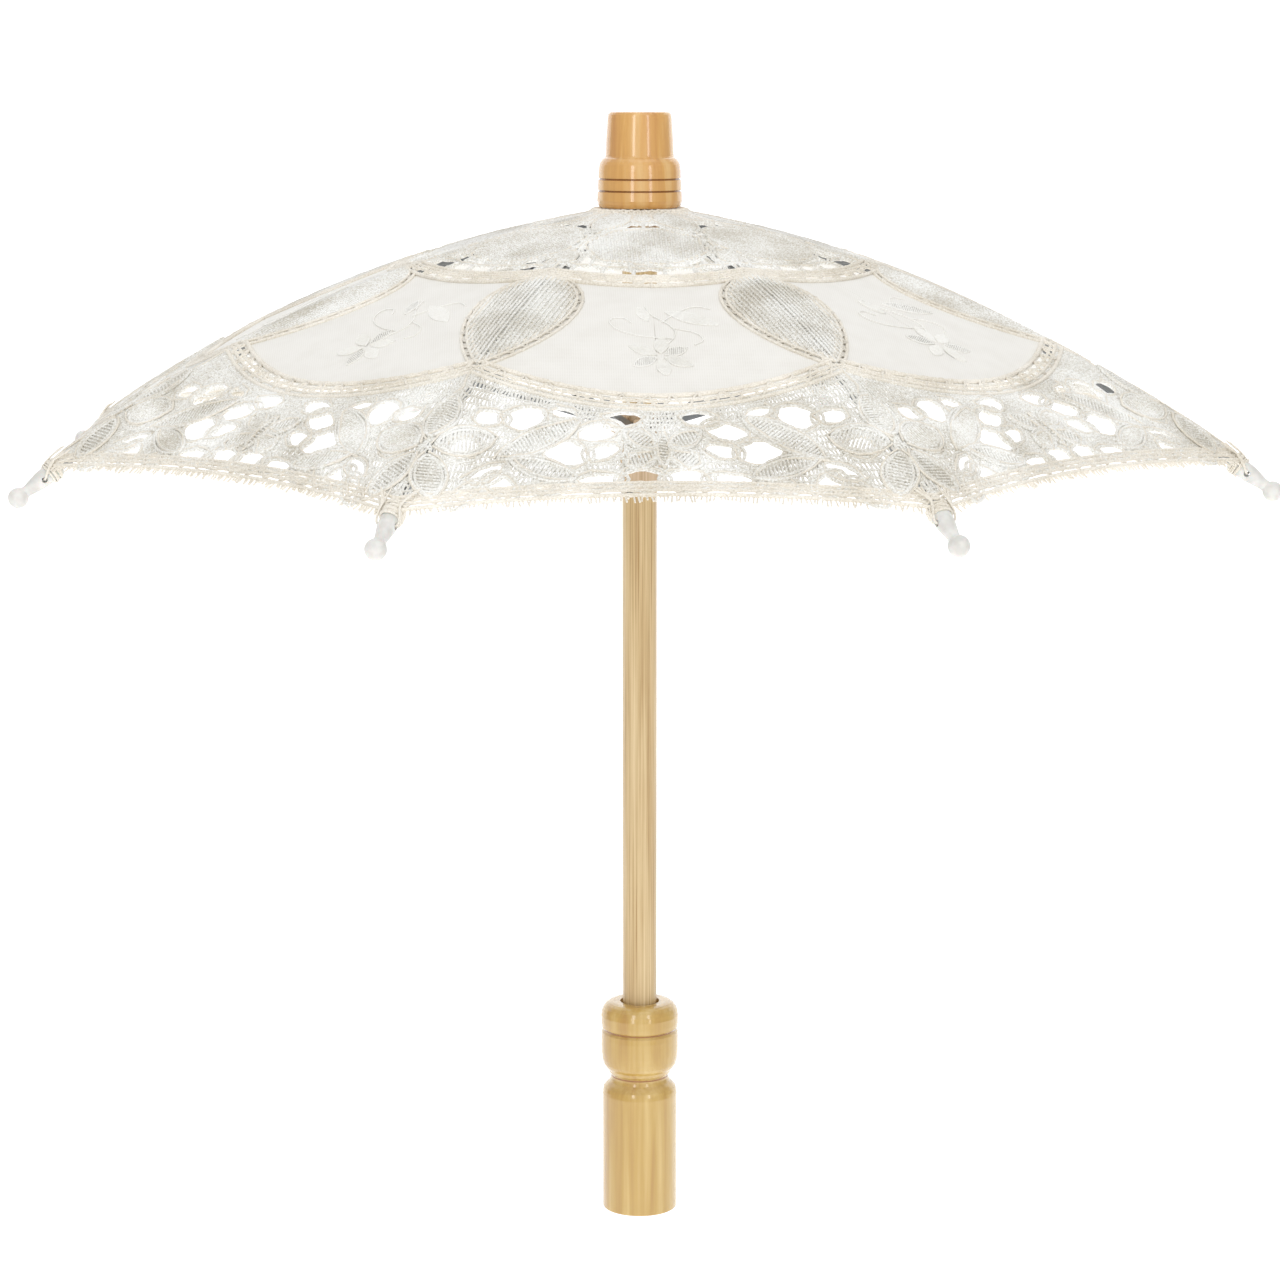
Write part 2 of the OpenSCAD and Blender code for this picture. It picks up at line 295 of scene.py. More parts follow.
@dataclass(frozen=True)
class Plastic:
    """Injection-moulded polyethylene: milky white with a soft gloss.

    Attributes:
        name: The material's name.
        tone: Its colour.
        shade: The colour of its cloudy places.
        cloud_mm: Their size.
    """

    name: str
    tone: str = "#E6E5E1"
    shade: str = "#D4D3CE"
    cloud_mm: float = 2.857

    def make(self) -> bpy.types.Material:
        """Build the material: slight cloudiness and a faint moulded texture.

        Returns:
            The material.
        """
        mat, tree, place = fresh(self.name)
        cloud = add(tree, "ShaderNodeTexNoise", Vector=place, Scale=rate(self.cloud_mm),
                    Detail=3.0)
        colour = add(tree, "ShaderNodeValToRGB",
                     {"stops": [(0.35, self.shade), (0.65, self.tone)]},
                     Fac=cloud.outputs["Fac"])
        bump = add(tree, "ShaderNodeBump", Strength=0.05, Distance=0.1 * MM,
                   Height=cloud.outputs["Fac"])
        shader = add(tree, "ShaderNodeBsdfPrincipled", Base_Color=colour.outputs["Color"],
                     Roughness=0.38, IOR=1.5, Subsurface_Weight=0.15,
                     Subsurface_Scale=2 * MM, Normal=bump.outputs[0])
        add(tree, "ShaderNodeOutputMaterial", Surface=shader.outputs[0])
        return mat


@dataclass(frozen=True)
class Yarn:
    """Mercerised cotton yarn: matt, with plied strands, painted shade between them and small tone
    changes.

    Attributes:
        name: The material's name.
        light: Colour of the strands' tops.
        dark: Colour between them, which is painted shade in the crevices; the slow changes use it
            too.
        ply_mm: Size of a ply, drawn coarser than real so that it shows.
        bump: How deep the plies look.
        slow_mm: Size of the slow shade changes.
        ply_share: Share of the colour that the plies' painted shade gives; the slow changes give
            the rest.
    """

    name: str
    light: str
    dark: str
    ply_mm: float = 0.45
    bump: float = 0.5
    slow_mm: float = 16.67
    ply_share: float = 0.55

    def make(self) -> bpy.types.Material:
        """Build the material: a ply pattern of painted shade between strands, over slow tone
        changes.

        Returns:
            The material.
        """
        mat, tree, place = fresh(self.name)
        ply = add(tree, "ShaderNodeTexNoise", Vector=place, Scale=rate(self.ply_mm),
                  Detail=2.0, Roughness=0.5)
        slow = add(tree, "ShaderNodeTexNoise", Vector=place, Scale=rate(self.slow_mm),
                   Detail=2.0)
        share = add(tree, "ShaderNodeMath", {"operation": "MULTIPLY"},
                    i0=ply.outputs["Fac"], i1=self.ply_share)
        total = add(tree, "ShaderNodeMath", {"operation": "MULTIPLY_ADD"},
                    i0=slow.outputs["Fac"], i1=1 - self.ply_share, i2=share.outputs[0])
        # The plies darken the colour between strands, which is painted shade in the crevices, over
        # random slow tone changes.
        colour = add(tree, "ShaderNodeValToRGB",
                     {"stops": [(0.36, self.dark), (0.6, self.light)]}, Fac=total.outputs[0])
        bump = add(tree, "ShaderNodeBump", Strength=self.bump, Distance=0.3 * MM,
                   Height=ply.outputs["Fac"])
        shader = add(tree, "ShaderNodeBsdfPrincipled", Base_Color=colour.outputs["Color"],
                     Roughness=0.85, IOR=1.45, Sheen_Weight=0.25, Sheen_Roughness=0.5,
                     Normal=bump.outputs[0])
        add(tree, "ShaderNodeOutputMaterial", Surface=shader.outputs[0])
        return mat


@dataclass(frozen=True)
class Lawn:
    """Plain-woven cotton lawn, starched: flat, matt, a fine even weave.

    Attributes:
        name: The material's name.
        light: Colour of the threads.
        dark: Colour between them.
        thread_mm: Spacing of the threads, drawn coarser than real so that they show.
        slub_mm: Size of the uneven places in the yarn.
    """

    name: str
    light: str = "#F1EFEA"
    dark: str = "#E6E3DC"
    thread_mm: float = 0.6
    slub_mm: float = 7.143

    def make(self) -> bpy.types.Material:
        """Build the material: crossed threads with slubs.

        Returns:
            The material.
        """
        mat, tree, place = fresh(self.name)
        # A wave turns by 20 radians in each unit of its scaled coordinate.
        scale = 2 * math.pi / 20 * rate(self.thread_mm)
        warp, weft = (add(tree, "ShaderNodeTexWave", {"bands_direction": way}, Vector=place,
                          Scale=scale, Distortion=0.6, Detail=1.0) for way in "XY")
        weave = add(tree, "ShaderNodeMath", {"operation": "MAXIMUM"},
                    i0=warp.outputs["Fac"], i1=weft.outputs["Fac"])
        slub = add(tree, "ShaderNodeTexNoise", Vector=place, Scale=rate(self.slub_mm),
                   Detail=4.0)
        share = add(tree, "ShaderNodeMath", {"operation": "MULTIPLY_ADD"},
                    i0=weave.outputs[0], i1=0.35, i2=0.15)
        total = add(tree, "ShaderNodeMath", {"operation": "MULTIPLY_ADD"},
                    i0=slub.outputs["Fac"], i1=0.5, i2=share.outputs[0])
        colour = add(tree, "ShaderNodeValToRGB",
                     {"stops": [(0.35, self.dark), (0.75, self.light)]}, Fac=total.outputs[0])
        bump = add(tree, "ShaderNodeBump", Strength=0.25, Distance=0.2 * MM,
                   Height=total.outputs[0])
        shader = add(tree, "ShaderNodeBsdfPrincipled", Base_Color=colour.outputs["Color"],
                     Roughness=0.9, IOR=1.45, Sheen_Weight=0.2, Normal=bump.outputs[0])
        add(tree, "ShaderNodeOutputMaterial", Surface=shader.outputs[0])
        return mat


@dataclass
class Surface:
    """The taut canopy surface: straight across each panel, bent along the ribs.

    Lengths are in millimetres.

    Attributes:
        pivot_x: Distance of the ribs' pivots from the axis.
        pivot_z: Their height.
        ball_x: Distance of the tips' balls from the axis.
        ball_z: Their height.
        arc_r: Radius of the ribs' curve.
        skin: Distance from the ribs' curve out to the cloth's underside.
        arc_x: Centre of the curve, out from the axis.
        arc_z: Its height.
    """

    pivot_x: float = 7.2
    pivot_z: float = 300.0
    ball_x: float = 185.4
    ball_z: float = 227.8
    arc_r: float = 430.0
    skin: float = 1.85
    arc_x: float = field(init=False)
    arc_z: float = field(init=False)

    def __post_init__(self) -> None:
        """Work out the centre of the ribs' curve from its two ends."""
        run, fall = self.ball_x - self.pivot_x, self.pivot_z - self.ball_z
        half = math.asin(math.hypot(run, fall) / 2 / self.arc_r)
        slope = math.atan2(fall, run) - half
        self.arc_x = self.pivot_x - self.arc_r * math.sin(slope)
        self.arc_z = self.pivot_z - self.arc_r * math.cos(slope)

    def lift(self, flat: np.ndarray, height: np.ndarray | float) -> np.ndarray:
        """Raise plan points on to the surface.

        Args:
            flat: Points in plan, one row each.
            height: Distance above the cloth's underside, one number or one each.

        Returns:
            Points in space.
        """
        rho = np.maximum(np.hypot(flat[:, 0], flat[:, 1]), 1e-6)
        # Angle from the nearest rib; between two ribs the cloth is straight.
        phi = np.abs((np.arctan2(flat[:, 0], -flat[:, 1]) + HALF + HALF) % (2 * HALF) - HALF)
        r = rho * np.cos(HALF - phi) / math.cos(HALF)
        z = self.arc_z + np.sqrt(self.arc_r**2 - (r - self.arc_x) ** 2)
        up = self.skin + height
        out = (r - self.arc_x) / self.arc_r * up / rho
        return np.column_stack((flat[:, 0] * (1 + out), flat[:, 1] * (1 + out),
                                z + up * (z - self.arc_z) / self.arc_r))


SURFACE = Surface()


def rib_angle(k: float, turned: float = 0.0) -> float:
    """Angle of rib k about the axis, turned by some degrees, in radians."""
    return math.radians(PANEL_DEG * (k - 1) - PANEL_DEG / 2 + turned)


def rib_plan(k: float, points: np.ndarray | list[Point]) -> np.ndarray:
    """Turn points given along and across rib k into plan points.

    Args:
        k: The rib's number, from 1; a half means the middle of a panel.
        points: Rows of distance out from the axis and distance across.

    Returns:
        Rows of x and y.
    """
    th = rib_angle(k)
    p = np.asarray(points, float).reshape(-1, 2)
    return np.column_stack((p[:, 0] * math.sin(th) + p[:, 1] * math.cos(th),
                            -p[:, 0] * math.cos(th) + p[:, 1] * math.sin(th)))


def resample(points: np.ndarray, step: float) -> np.ndarray:
    """Space points evenly along a line.

    Args:
        points: The line's points, in two or three dimensions.
        step: The largest spacing.

    Returns:
        The new points, with both ends kept.
    """
    d = np.linalg.norm(np.diff(points, axis=0), axis=1)
    s = np.concatenate(([0], np.cumsum(d)))
    n = max(1, math.ceil(s[-1] / step))
    at = np.linspace(0, s[-1], n + 1)
    return np.column_stack([np.interp(at, s, points[:, i]) for i in range(points.shape[1])])


def smooth(points: np.ndarray, closed: bool = False, rounds: int = 3) -> np.ndarray:
    """Round a line's corners by cutting them repeatedly.

    Args:
        points: The line's points.
        closed: Whether the last point joins the first.
        rounds: How many times the corners are cut.

    Returns:
        The rounded line; a closed one ends where it starts.
    """
    p = np.asarray(points, float)
    for _ in range(rounds):
        q = np.roll(p, -1, axis=0) if closed else p[1:]
        a = p if closed else p[:-1]
        cut = np.empty((2 * len(a), p.shape[1]))
        cut[0::2], cut[1::2] = 0.75 * a + 0.25 * q, 0.25 * a + 0.75 * q
        p = cut if closed else np.vstack((p[:1], cut, p[-1:]))
    return np.vstack((p, p[:1])) if closed else p


def normals(points: np.ndarray) -> np.ndarray:
    """Find the unit sideways directions along a plan line.

    Args:
        points: The line's points.

    Returns:
        One direction for each point.
    """
    t = np.gradient(points, axis=0)
    t /= np.maximum(np.linalg.norm(t, axis=1), 1e-9)[:, None]
    return np.column_stack((t[:, 1], -t[:, 0]))


def noise(n: int, seed: float) -> np.ndarray:
    """Repeatable unevenness: n numbers from -1 to 1."""
    i = np.arange(n)
    return np.sin(i * 12.9898 + seed * 78.233) * np.cos(i * 4.1414 + seed * 3.7)


def zigzag(n: int) -> np.ndarray:
    """Alternate -1 and 1, n numbers in all."""
    return np.where(np.arange(n) % 2, 1.0, -1.0)


def runs(values: np.ndarray) -> list[tuple[int, int]]:
    """Split a row of values where they change.

    Args:
        values: The row.

    Returns:
        The start and end of each stretch with one value.
    """
    cuts = np.flatnonzero(np.diff(values.astype(int))) + 1
    return list(zip([0, *cuts], [*cuts, len(values)]))


def inside(points: np.ndarray, outline: np.ndarray) -> np.ndarray:
    """Tell which plan points lie inside a closed line.

    Args:
        points: The points.
        outline: The closed line.

    Returns:
        True or False for each point.
    """
    a, b = outline, np.roll(outline, -1, axis=0)
    x, y = points[:, :1], points[:, 1:]
    cross = (a[:, 1] > y) != (b[:, 1] > y)
    rise = np.where(b[:, 1] == a[:, 1], 1e-9, b[:, 1] - a[:, 1])
    return (cross & (x < (b[:, 0] - a[:, 0]) * (y - a[:, 1]) / rise + a[:, 0])).sum(1) % 2 == 1


def leaf(p0: Point, p1: Point, width: float, blunt: float = 0.75, n: int = 22) -> np.ndarray:
    """Outline a leaf between two points.

    Args:
        p0: The base.
        p1: The tip.
        width: The full width.
        blunt: Below 1 for rounder ends.
        n: Points on each side.

    Returns:
        A closed line.
    """
    a, b = np.array(p0, float), np.array(p1, float)
    t = np.linspace(0, 1, n + 1)
    w = width / 2 * np.sin(math.pi * t) ** blunt
    d = (b - a) / np.linalg.norm(b - a)
    side = np.array((-d[1], d[0]))
    mid = a + (b - a) * t[:, None]
    return np.vstack((mid + side * w[:, None], (mid - side * w[:, None])[::-1][1:]))


def clip_lines(outline: np.ndarray, angle: float, pitch: float) -> list[np.ndarray]:
    """Draw parallel lines inside an outline.

    Args:
        outline: A closed line.
        angle: The lines' direction in radians.
        pitch: Their spacing.

    Returns:
        One two-point line for each stretch inside that is longer than half a millimetre.
    """
    c, s = math.cos(angle), math.sin(angle)
    turn = np.array(((c, s), (-s, c)))
    p = outline @ turn.T
    a, b = p[:-1], p[1:]
    found = []
    for y in np.arange(math.ceil(p[:, 1].min() / pitch) * pitch, p[:, 1].max(), pitch):
        hit = (a[:, 1] > y) != (b[:, 1] > y)
        x = a[hit, 0] + (y - a[hit, 1]) / (b[hit, 1] - a[hit, 1]) * (b[hit, 0] - a[hit, 0])
        x = np.sort(x)
        for x0, x1 in zip(x[0::2], x[1::2]):
            if x1 - x0 > 0.5:
                found.append(np.array(((x0, y), (x1, y))) @ turn)
    return found


class ThreadTool:
    """Geometry Nodes tree that turns drawn lines into round cord."""

    # Share of its radius by which a cord is uneven, and the seed of that unevenness.
    uneven = 0.22
    seed = 1.7

    def __init__(self) -> None:
        """Build the tree, with its sizes as named inputs."""
        tree = bpy.data.node_groups.new("Cord along lines", "GeometryNodeTree")
        face = tree.interface
        face.new_socket("Geometry", in_out="INPUT", socket_type="NodeSocketGeometry")
        self.sockets = {
            name: face.new_socket(name, in_out="INPUT", socket_type=kind).identifier
            for name, kind in (("Thickness", "NodeSocketFloat"), ("Sides", "NodeSocketInt"),
                               ("Finish", "NodeSocketMaterial"))}
        face.new_socket("Geometry", in_out="OUTPUT", socket_type="NodeSocketGeometry")
        given = add(tree, "NodeGroupInput")
        size = add(tree, "GeometryNodeInputNamedAttribute", {"data_type": "FLOAT"},
                   Name="cord_radius")
        scale = add(tree, "ShaderNodeMath", {"operation": "MULTIPLY"},
                    i0=size.outputs["Attribute"], i1=given.outputs["Thickness"])
        line = add(tree, "GeometryNodeMeshToCurve", Mesh=given.outputs["Geometry"])
        ring = add(tree, "GeometryNodeCurvePrimitiveCircle", Resolution=given.outputs["Sides"],
                   Radius=1.0)
        tube = add(tree, "GeometryNodeCurveToMesh", Curve=line.outputs[0],
                   Profile_Curve=ring.outputs["Curve"], Scale=scale.outputs[0], Fill_Caps=True)
        soft = add(tree, "GeometryNodeSetShadeSmooth", Geometry=tube.outputs[0])
        real = add(tree, "GeometryNodeRealizeInstances", Geometry=soft.outputs[0])
        done = add(tree, "GeometryNodeSetMaterial", Geometry=real.outputs[0],
                   Material=given.outputs["Finish"])
        add(tree, "NodeGroupOutput", Geometry=done.outputs[0])
        self.tree = tree

    def spin(self, name: str, lines: list[tuple[np.ndarray, float]],
             finish: bpy.types.Material, sides: int = 5) -> bpy.types.Object:
        """Make one mesh of cords.

        Args:
            name: The piece's name.
            lines: Points in millimetres and the cord's radius.
            finish: The material.
            sides: Faces round a cord.

        Returns:
            The finished piece.
        """
        verts = np.vstack([p for p, _ in lines]) * MM
        radius = np.concatenate([np.full(len(p), r) for p, r in lines]) * MM
        radius *= 1 + self.uneven * noise(len(radius), self.seed)
        edges, start = [], 0
        for p, _ in lines:
            i = np.arange(start, start + len(p) - 1)
            edges.append(np.column_stack((i, i + 1)))
            start += len(p)
        mesh = bpy.data.meshes.new(name + "_lines")
        mesh.from_pydata(verts.tolist(), np.vstack(edges).tolist(), [])
        mesh.attributes.new("cord_radius", "FLOAT", "POINT").data.foreach_set(
            "value", radius.astype(np.float32))
        source = bpy.data.objects.new(name + "_lines", mesh)
        bpy.context.collection.objects.link(source)
        mod = source.modifiers.new("cord", "NODES")
        mod.node_group = self.tree
        mod[self.sockets["Thickness"]] = 1.0
        mod[self.sockets["Sides"]] = sides
        mod[self.sockets["Finish"]] = finish
        graph = bpy.context.evaluated_depsgraph_get()
        baked = bpy.data.meshes.new_from_object(source.evaluated_get(graph))
        baked.name = name
        bpy.data.objects.remove(source)
        bpy.data.meshes.remove(mesh)
        piece = bpy.data.objects.new(name, baked)
        bpy.context.collection.objects.link(piece)
        return piece


class LaceBook:
    """Lines of thread, kept by sector and layer until they are made into cord."""

    def __init__(self) -> None:
        """Start with no lines."""
        self.lines: dict[tuple[int, Layer], list[tuple[np.ndarray, float]]] = defaultdict(list)

    def draw(self, layer: Layer, flat: np.ndarray, radius: float, height: float = 0.0,
             step: float = 1.0) -> None:
        """Lay a line on the canopy and share it among the sectors it crosses.

        Args:
            layer: The piece it belongs to.
            flat: Plan points.
            radius: The cord's radius.
            height: Height of its underside over the cloth.
            step: Largest spacing of its points.
        """
        p = resample(flat, step)
        q = SURFACE.lift(p, height + radius)
        middle = (p[:-1] + p[1:]) / 2
        bearing = np.degrees(np.arctan2(middle[:, 0], -middle[:, 1]))
        sector = np.floor((bearing + PANEL_DEG) / PANEL_DEG).astype(int) % PANELS + 1
        for a, b in runs(sector):
            self.lines[int(sector[a]), layer].append((q[a : b + 1], radius))

    def tape(self, layer: Layer, flat: np.ndarray, width: float, edge: float = 0.48,
             filling: float = 0.36, pitch: float = 0.8) -> None:
        """Lay a bobbin tape: two edge cords with close crossing threads.

        Args:
            layer: The piece it belongs to.
            flat: The tape's middle line in plan.
            width: Distance between the edge cords.
            edge: Radius of the edge cords.
            filling: Radius of the crossing thread.
            pitch: Spacing of the crossings.
        """
        path = resample(flat, 0.9)
        side = normals(path) * width / 2
        for way in (1, -1):
            self.draw(layer, path + way * side, edge, step=1.2)
        path = resample(flat, pitch)
        reach = width / 2 * (1 + 0.25 * noise(len(path), width))
        self.draw(Layer.STITCHES, path + normals(path) * (zigzag(len(path)) * reach)[:, None],
                  filling, height=0.3, step=WHOLE)

    def fill(self, layer: Layer, outline: np.ndarray, angle: float, pitch: float,
             radius: float, height: float = 0.1) -> None:
        """Fill an outline with parallel threads.

        Args:
            layer: The piece they belong to.
            outline: A closed plan line.
            angle: The threads' direction in radians.
            pitch: Their spacing.
            radius: Their radius.
            height: Height of their underside over the cloth.
        """
        for line in clip_lines(outline, angle, pitch):
            loose = resample(line, 1.5)
            loose[1:-1] += 0.13 * noise(len(loose) - 2, line[0, 0])[:, None]
            self.draw(layer, loose, radius, height, step=3.0)

    def net(self, outline: np.ndarray, angle: float, pitch: float, radius: float) -> None:
        """Fill an outline with square net: one set of threads lies on the other."""
        self.fill(Layer.NET, outline, angle, pitch, radius, height=0.0)
        self.fill(Layer.NET, outline, angle + math.pi / 2, pitch, radius, height=radius)


@dataclass
class Heart:
    """The openwork round the hub: leaf petals, lobed petals, knots, bars and the ring.

    Lengths are in millimetres. A place on a petal is an angle in radians from its outer end.

    Attributes:
        ring_in: Inner radius of the ring that the cotton starts from.
        ring_out: Its outer radius.
        rails: Distances of its two cords from its inner edge.
        collar: Radius of the tape round the finial's foot.
        petal_mid: Distance of the lobed petals' middles from the axis.
        petal_long: Half of a lobed petal's length.
        petal_wide: Half of its width.
        chain: Radius of the wavy tape between petals and ring.
        bar: Radius of the joining bars.
        thin: Radius of the thinnest ones.
        out_bars: Places on a petal that bars to the chain leave from.
        rib_bars: Places on both petals beside a rib, and where the bar between them crosses it.
        leaf_bars: Places on a petal that bars to the leaf on the rib leave from.
    """

    ring_in: float = 66.5
    ring_out: float = 72.0
    rails: Point = (1.5, 2.9)
    collar: float = 13.2
    petal_mid: float = 44.0
    petal_long: float = 13.6
    petal_wide: float = 15.6
    chain: float = 61.0
    bar: float = 0.55
    thin: float = 0.38
    out_bars: tuple[float, ...] = (-1.25, -0.95, -0.6, -0.28, 0.0, 0.28, 0.6, 0.95, 1.25)
    rib_bars: tuple[Point, ...] = ((1.2, 55.0), (1.5, 49.5), (1.85, 44.0), (2.2, 38.5))
    leaf_bars: Point = (2.55, 2.85)

    def petal(self, k: int, places: np.ndarray) -> np.ndarray:
        """Find plan points on a lobed petal's edge.

        Args:
            k: The rib before the petal's panel.
            places: Angles from the petal's outer end.

        Returns:
            One point for each place.
        """
        lobes = 1 + 0.05 * np.abs(np.cos(4.5 * places)) ** 0.7
        taper = 1 + 0.14 * np.cos(places)
        p = np.column_stack((self.petal_mid + self.petal_long * np.cos(places) * lobes,
                             self.petal_wide * np.sin(places) * taper * lobes))
        return rib_plan(k + 0.5, p)

    def draw(self, book: LaceBook) -> None:
        """Draw every line of the openwork.

        Args:
            book: The canopy's lines.
        """
        self.rings(book)
        for k in range(1, PANELS + 1):
            self.lobed_petal(book, k)
            self.rib_leaf(book, k)
            self.hub_leaf(book, k)

    def rings(self, book: LaceBook) -> None:
        """Draw the ring, the collar, the wavy chain and the posts between ring and chain.

        Args:
            book: The canopy's lines.
        """
        turn = np.radians(np.arange(0, 360.1, 1.5))
        around = np.column_stack((np.sin(turn), -np.cos(turn)))
        book.tape(Layer.HEM, around * (self.ring_in + self.ring_out) / 2,
                  self.ring_out - self.ring_in, edge=0.65, filling=0.42)
        for inward in self.rails:
            book.draw(Layer.HEM, around * (self.ring_in + inward), 0.42, height=0.3)
        book.tape(Layer.HEART, around * self.collar, 2.2)
        half_step = 3.75
        crest, trough = self.chain + 0.9, self.chain - 0.7
        steps = np.radians(np.arange(0, 360.1, half_step) - PANEL_DEG / 2)
        wave = np.where(np.arange(len(steps)) % 2, crest, trough)
        book.tape(Layer.HEART, np.column_stack((np.sin(steps) * wave, -np.cos(steps) * wave)),
                  1.3, edge=0.4, filling=0.32)
        for b in np.radians(np.arange(0, 360, 2 * half_step) + half_step - PANEL_DEG / 2):
            d = np.array((math.sin(b), -math.cos(b)))
            book.draw(Layer.HEART, np.vstack((d * crest, d * self.ring_in)), 0.6)

    def lobed_petal(self, book: LaceBook, k: int) -> None:
        """Draw the lobed petal after rib k, with the bars that hold it.

        Args:
            book: The canopy's lines.
            k: The rib's number.
        """
        edge = self.petal(k, np.linspace(0, 2 * math.pi, 120))
        book.tape(Layer.HEART, edge, 2.4)
        book.net(edge, rib_angle(k + 0.5), 1.4, 0.38)
        for a in self.out_bars:
            p = self.petal(k, np.array([a]))
            end = p / np.linalg.norm(p) * (self.chain - 0.4)
            book.draw(Layer.HEART, np.vstack((p, end)), self.bar)
        for a, x in self.rib_bars:
            left = self.petal(k - 1, np.array([a]))
            right = self.petal(k, np.array([-a]))
            book.draw(Layer.HEART, np.vstack((left, rib_plan(k, [(x, 0)]), right)), self.bar)
        for a in self.leaf_bars:
            out = 32 - 6 * (a - self.leaf_bars[0])
            for j, s in ((k - 1, 1), (k, -1)):
                p = self.petal(j, np.array([s * a]))
                book.draw(Layer.HEART, np.vstack((p, rib_plan(k, [(out, -2.5 * s)]))), self.thin)

    def rib_leaf(self, book: LaceBook, k: int) -> None:
        """Draw the leaf on rib k, the tape that runs out from it and the knot on the tape.

        Args:
            book: The canopy's lines.
            k: The rib's number.
        """
        petal = rib_plan(k, leaf((12.0, 0), (34.0, 0), 9.6, 0.7))
        book.tape(Layer.HEART, petal, 2.0)
        book.net(petal, rib_angle(k, 90), 1.2, 0.34)
        book.tape(Layer.HEART, rib_plan(k, [(34, 0), (66, 0)]), 1.7, edge=0.4, filling=0.34,
                  pitch=1.3)
        knot = rib_plan(k, leaf((52.0, 0), (61.5, 0), 5.6, 0.6))
        book.tape(Layer.HEART, knot, 1.5)
        book.fill(Layer.HEART, knot, rib_angle(k), 0.8, 0.36, height=0.4)

    def hub_leaf(self, book: LaceBook, k: int) -> None:
        """Draw the small leaf in the panel after rib k, and the bars beside it.

        Args:
            book: The canopy's lines.
            k: The rib's number.
        """
        small = rib_plan(k + 0.5, leaf((12.5, 0), (24.0, 0), 5.6, 0.7))
        book.tape(Layer.HEART, small, 1.5)
        book.fill(Layer.HEART, small, rib_angle(k + 0.5, 45), 0.85, 0.34, height=0.2)
        book.draw(Layer.HEART, rib_plan(k + 0.5, [(24, 0), (30.6, 0)]), 0.6)
        for s in (-1, 1):
            book.draw(Layer.HEART, rib_plan(k, [(23, 4.6 * s), (23.5, 8 * s)]), self.thin)


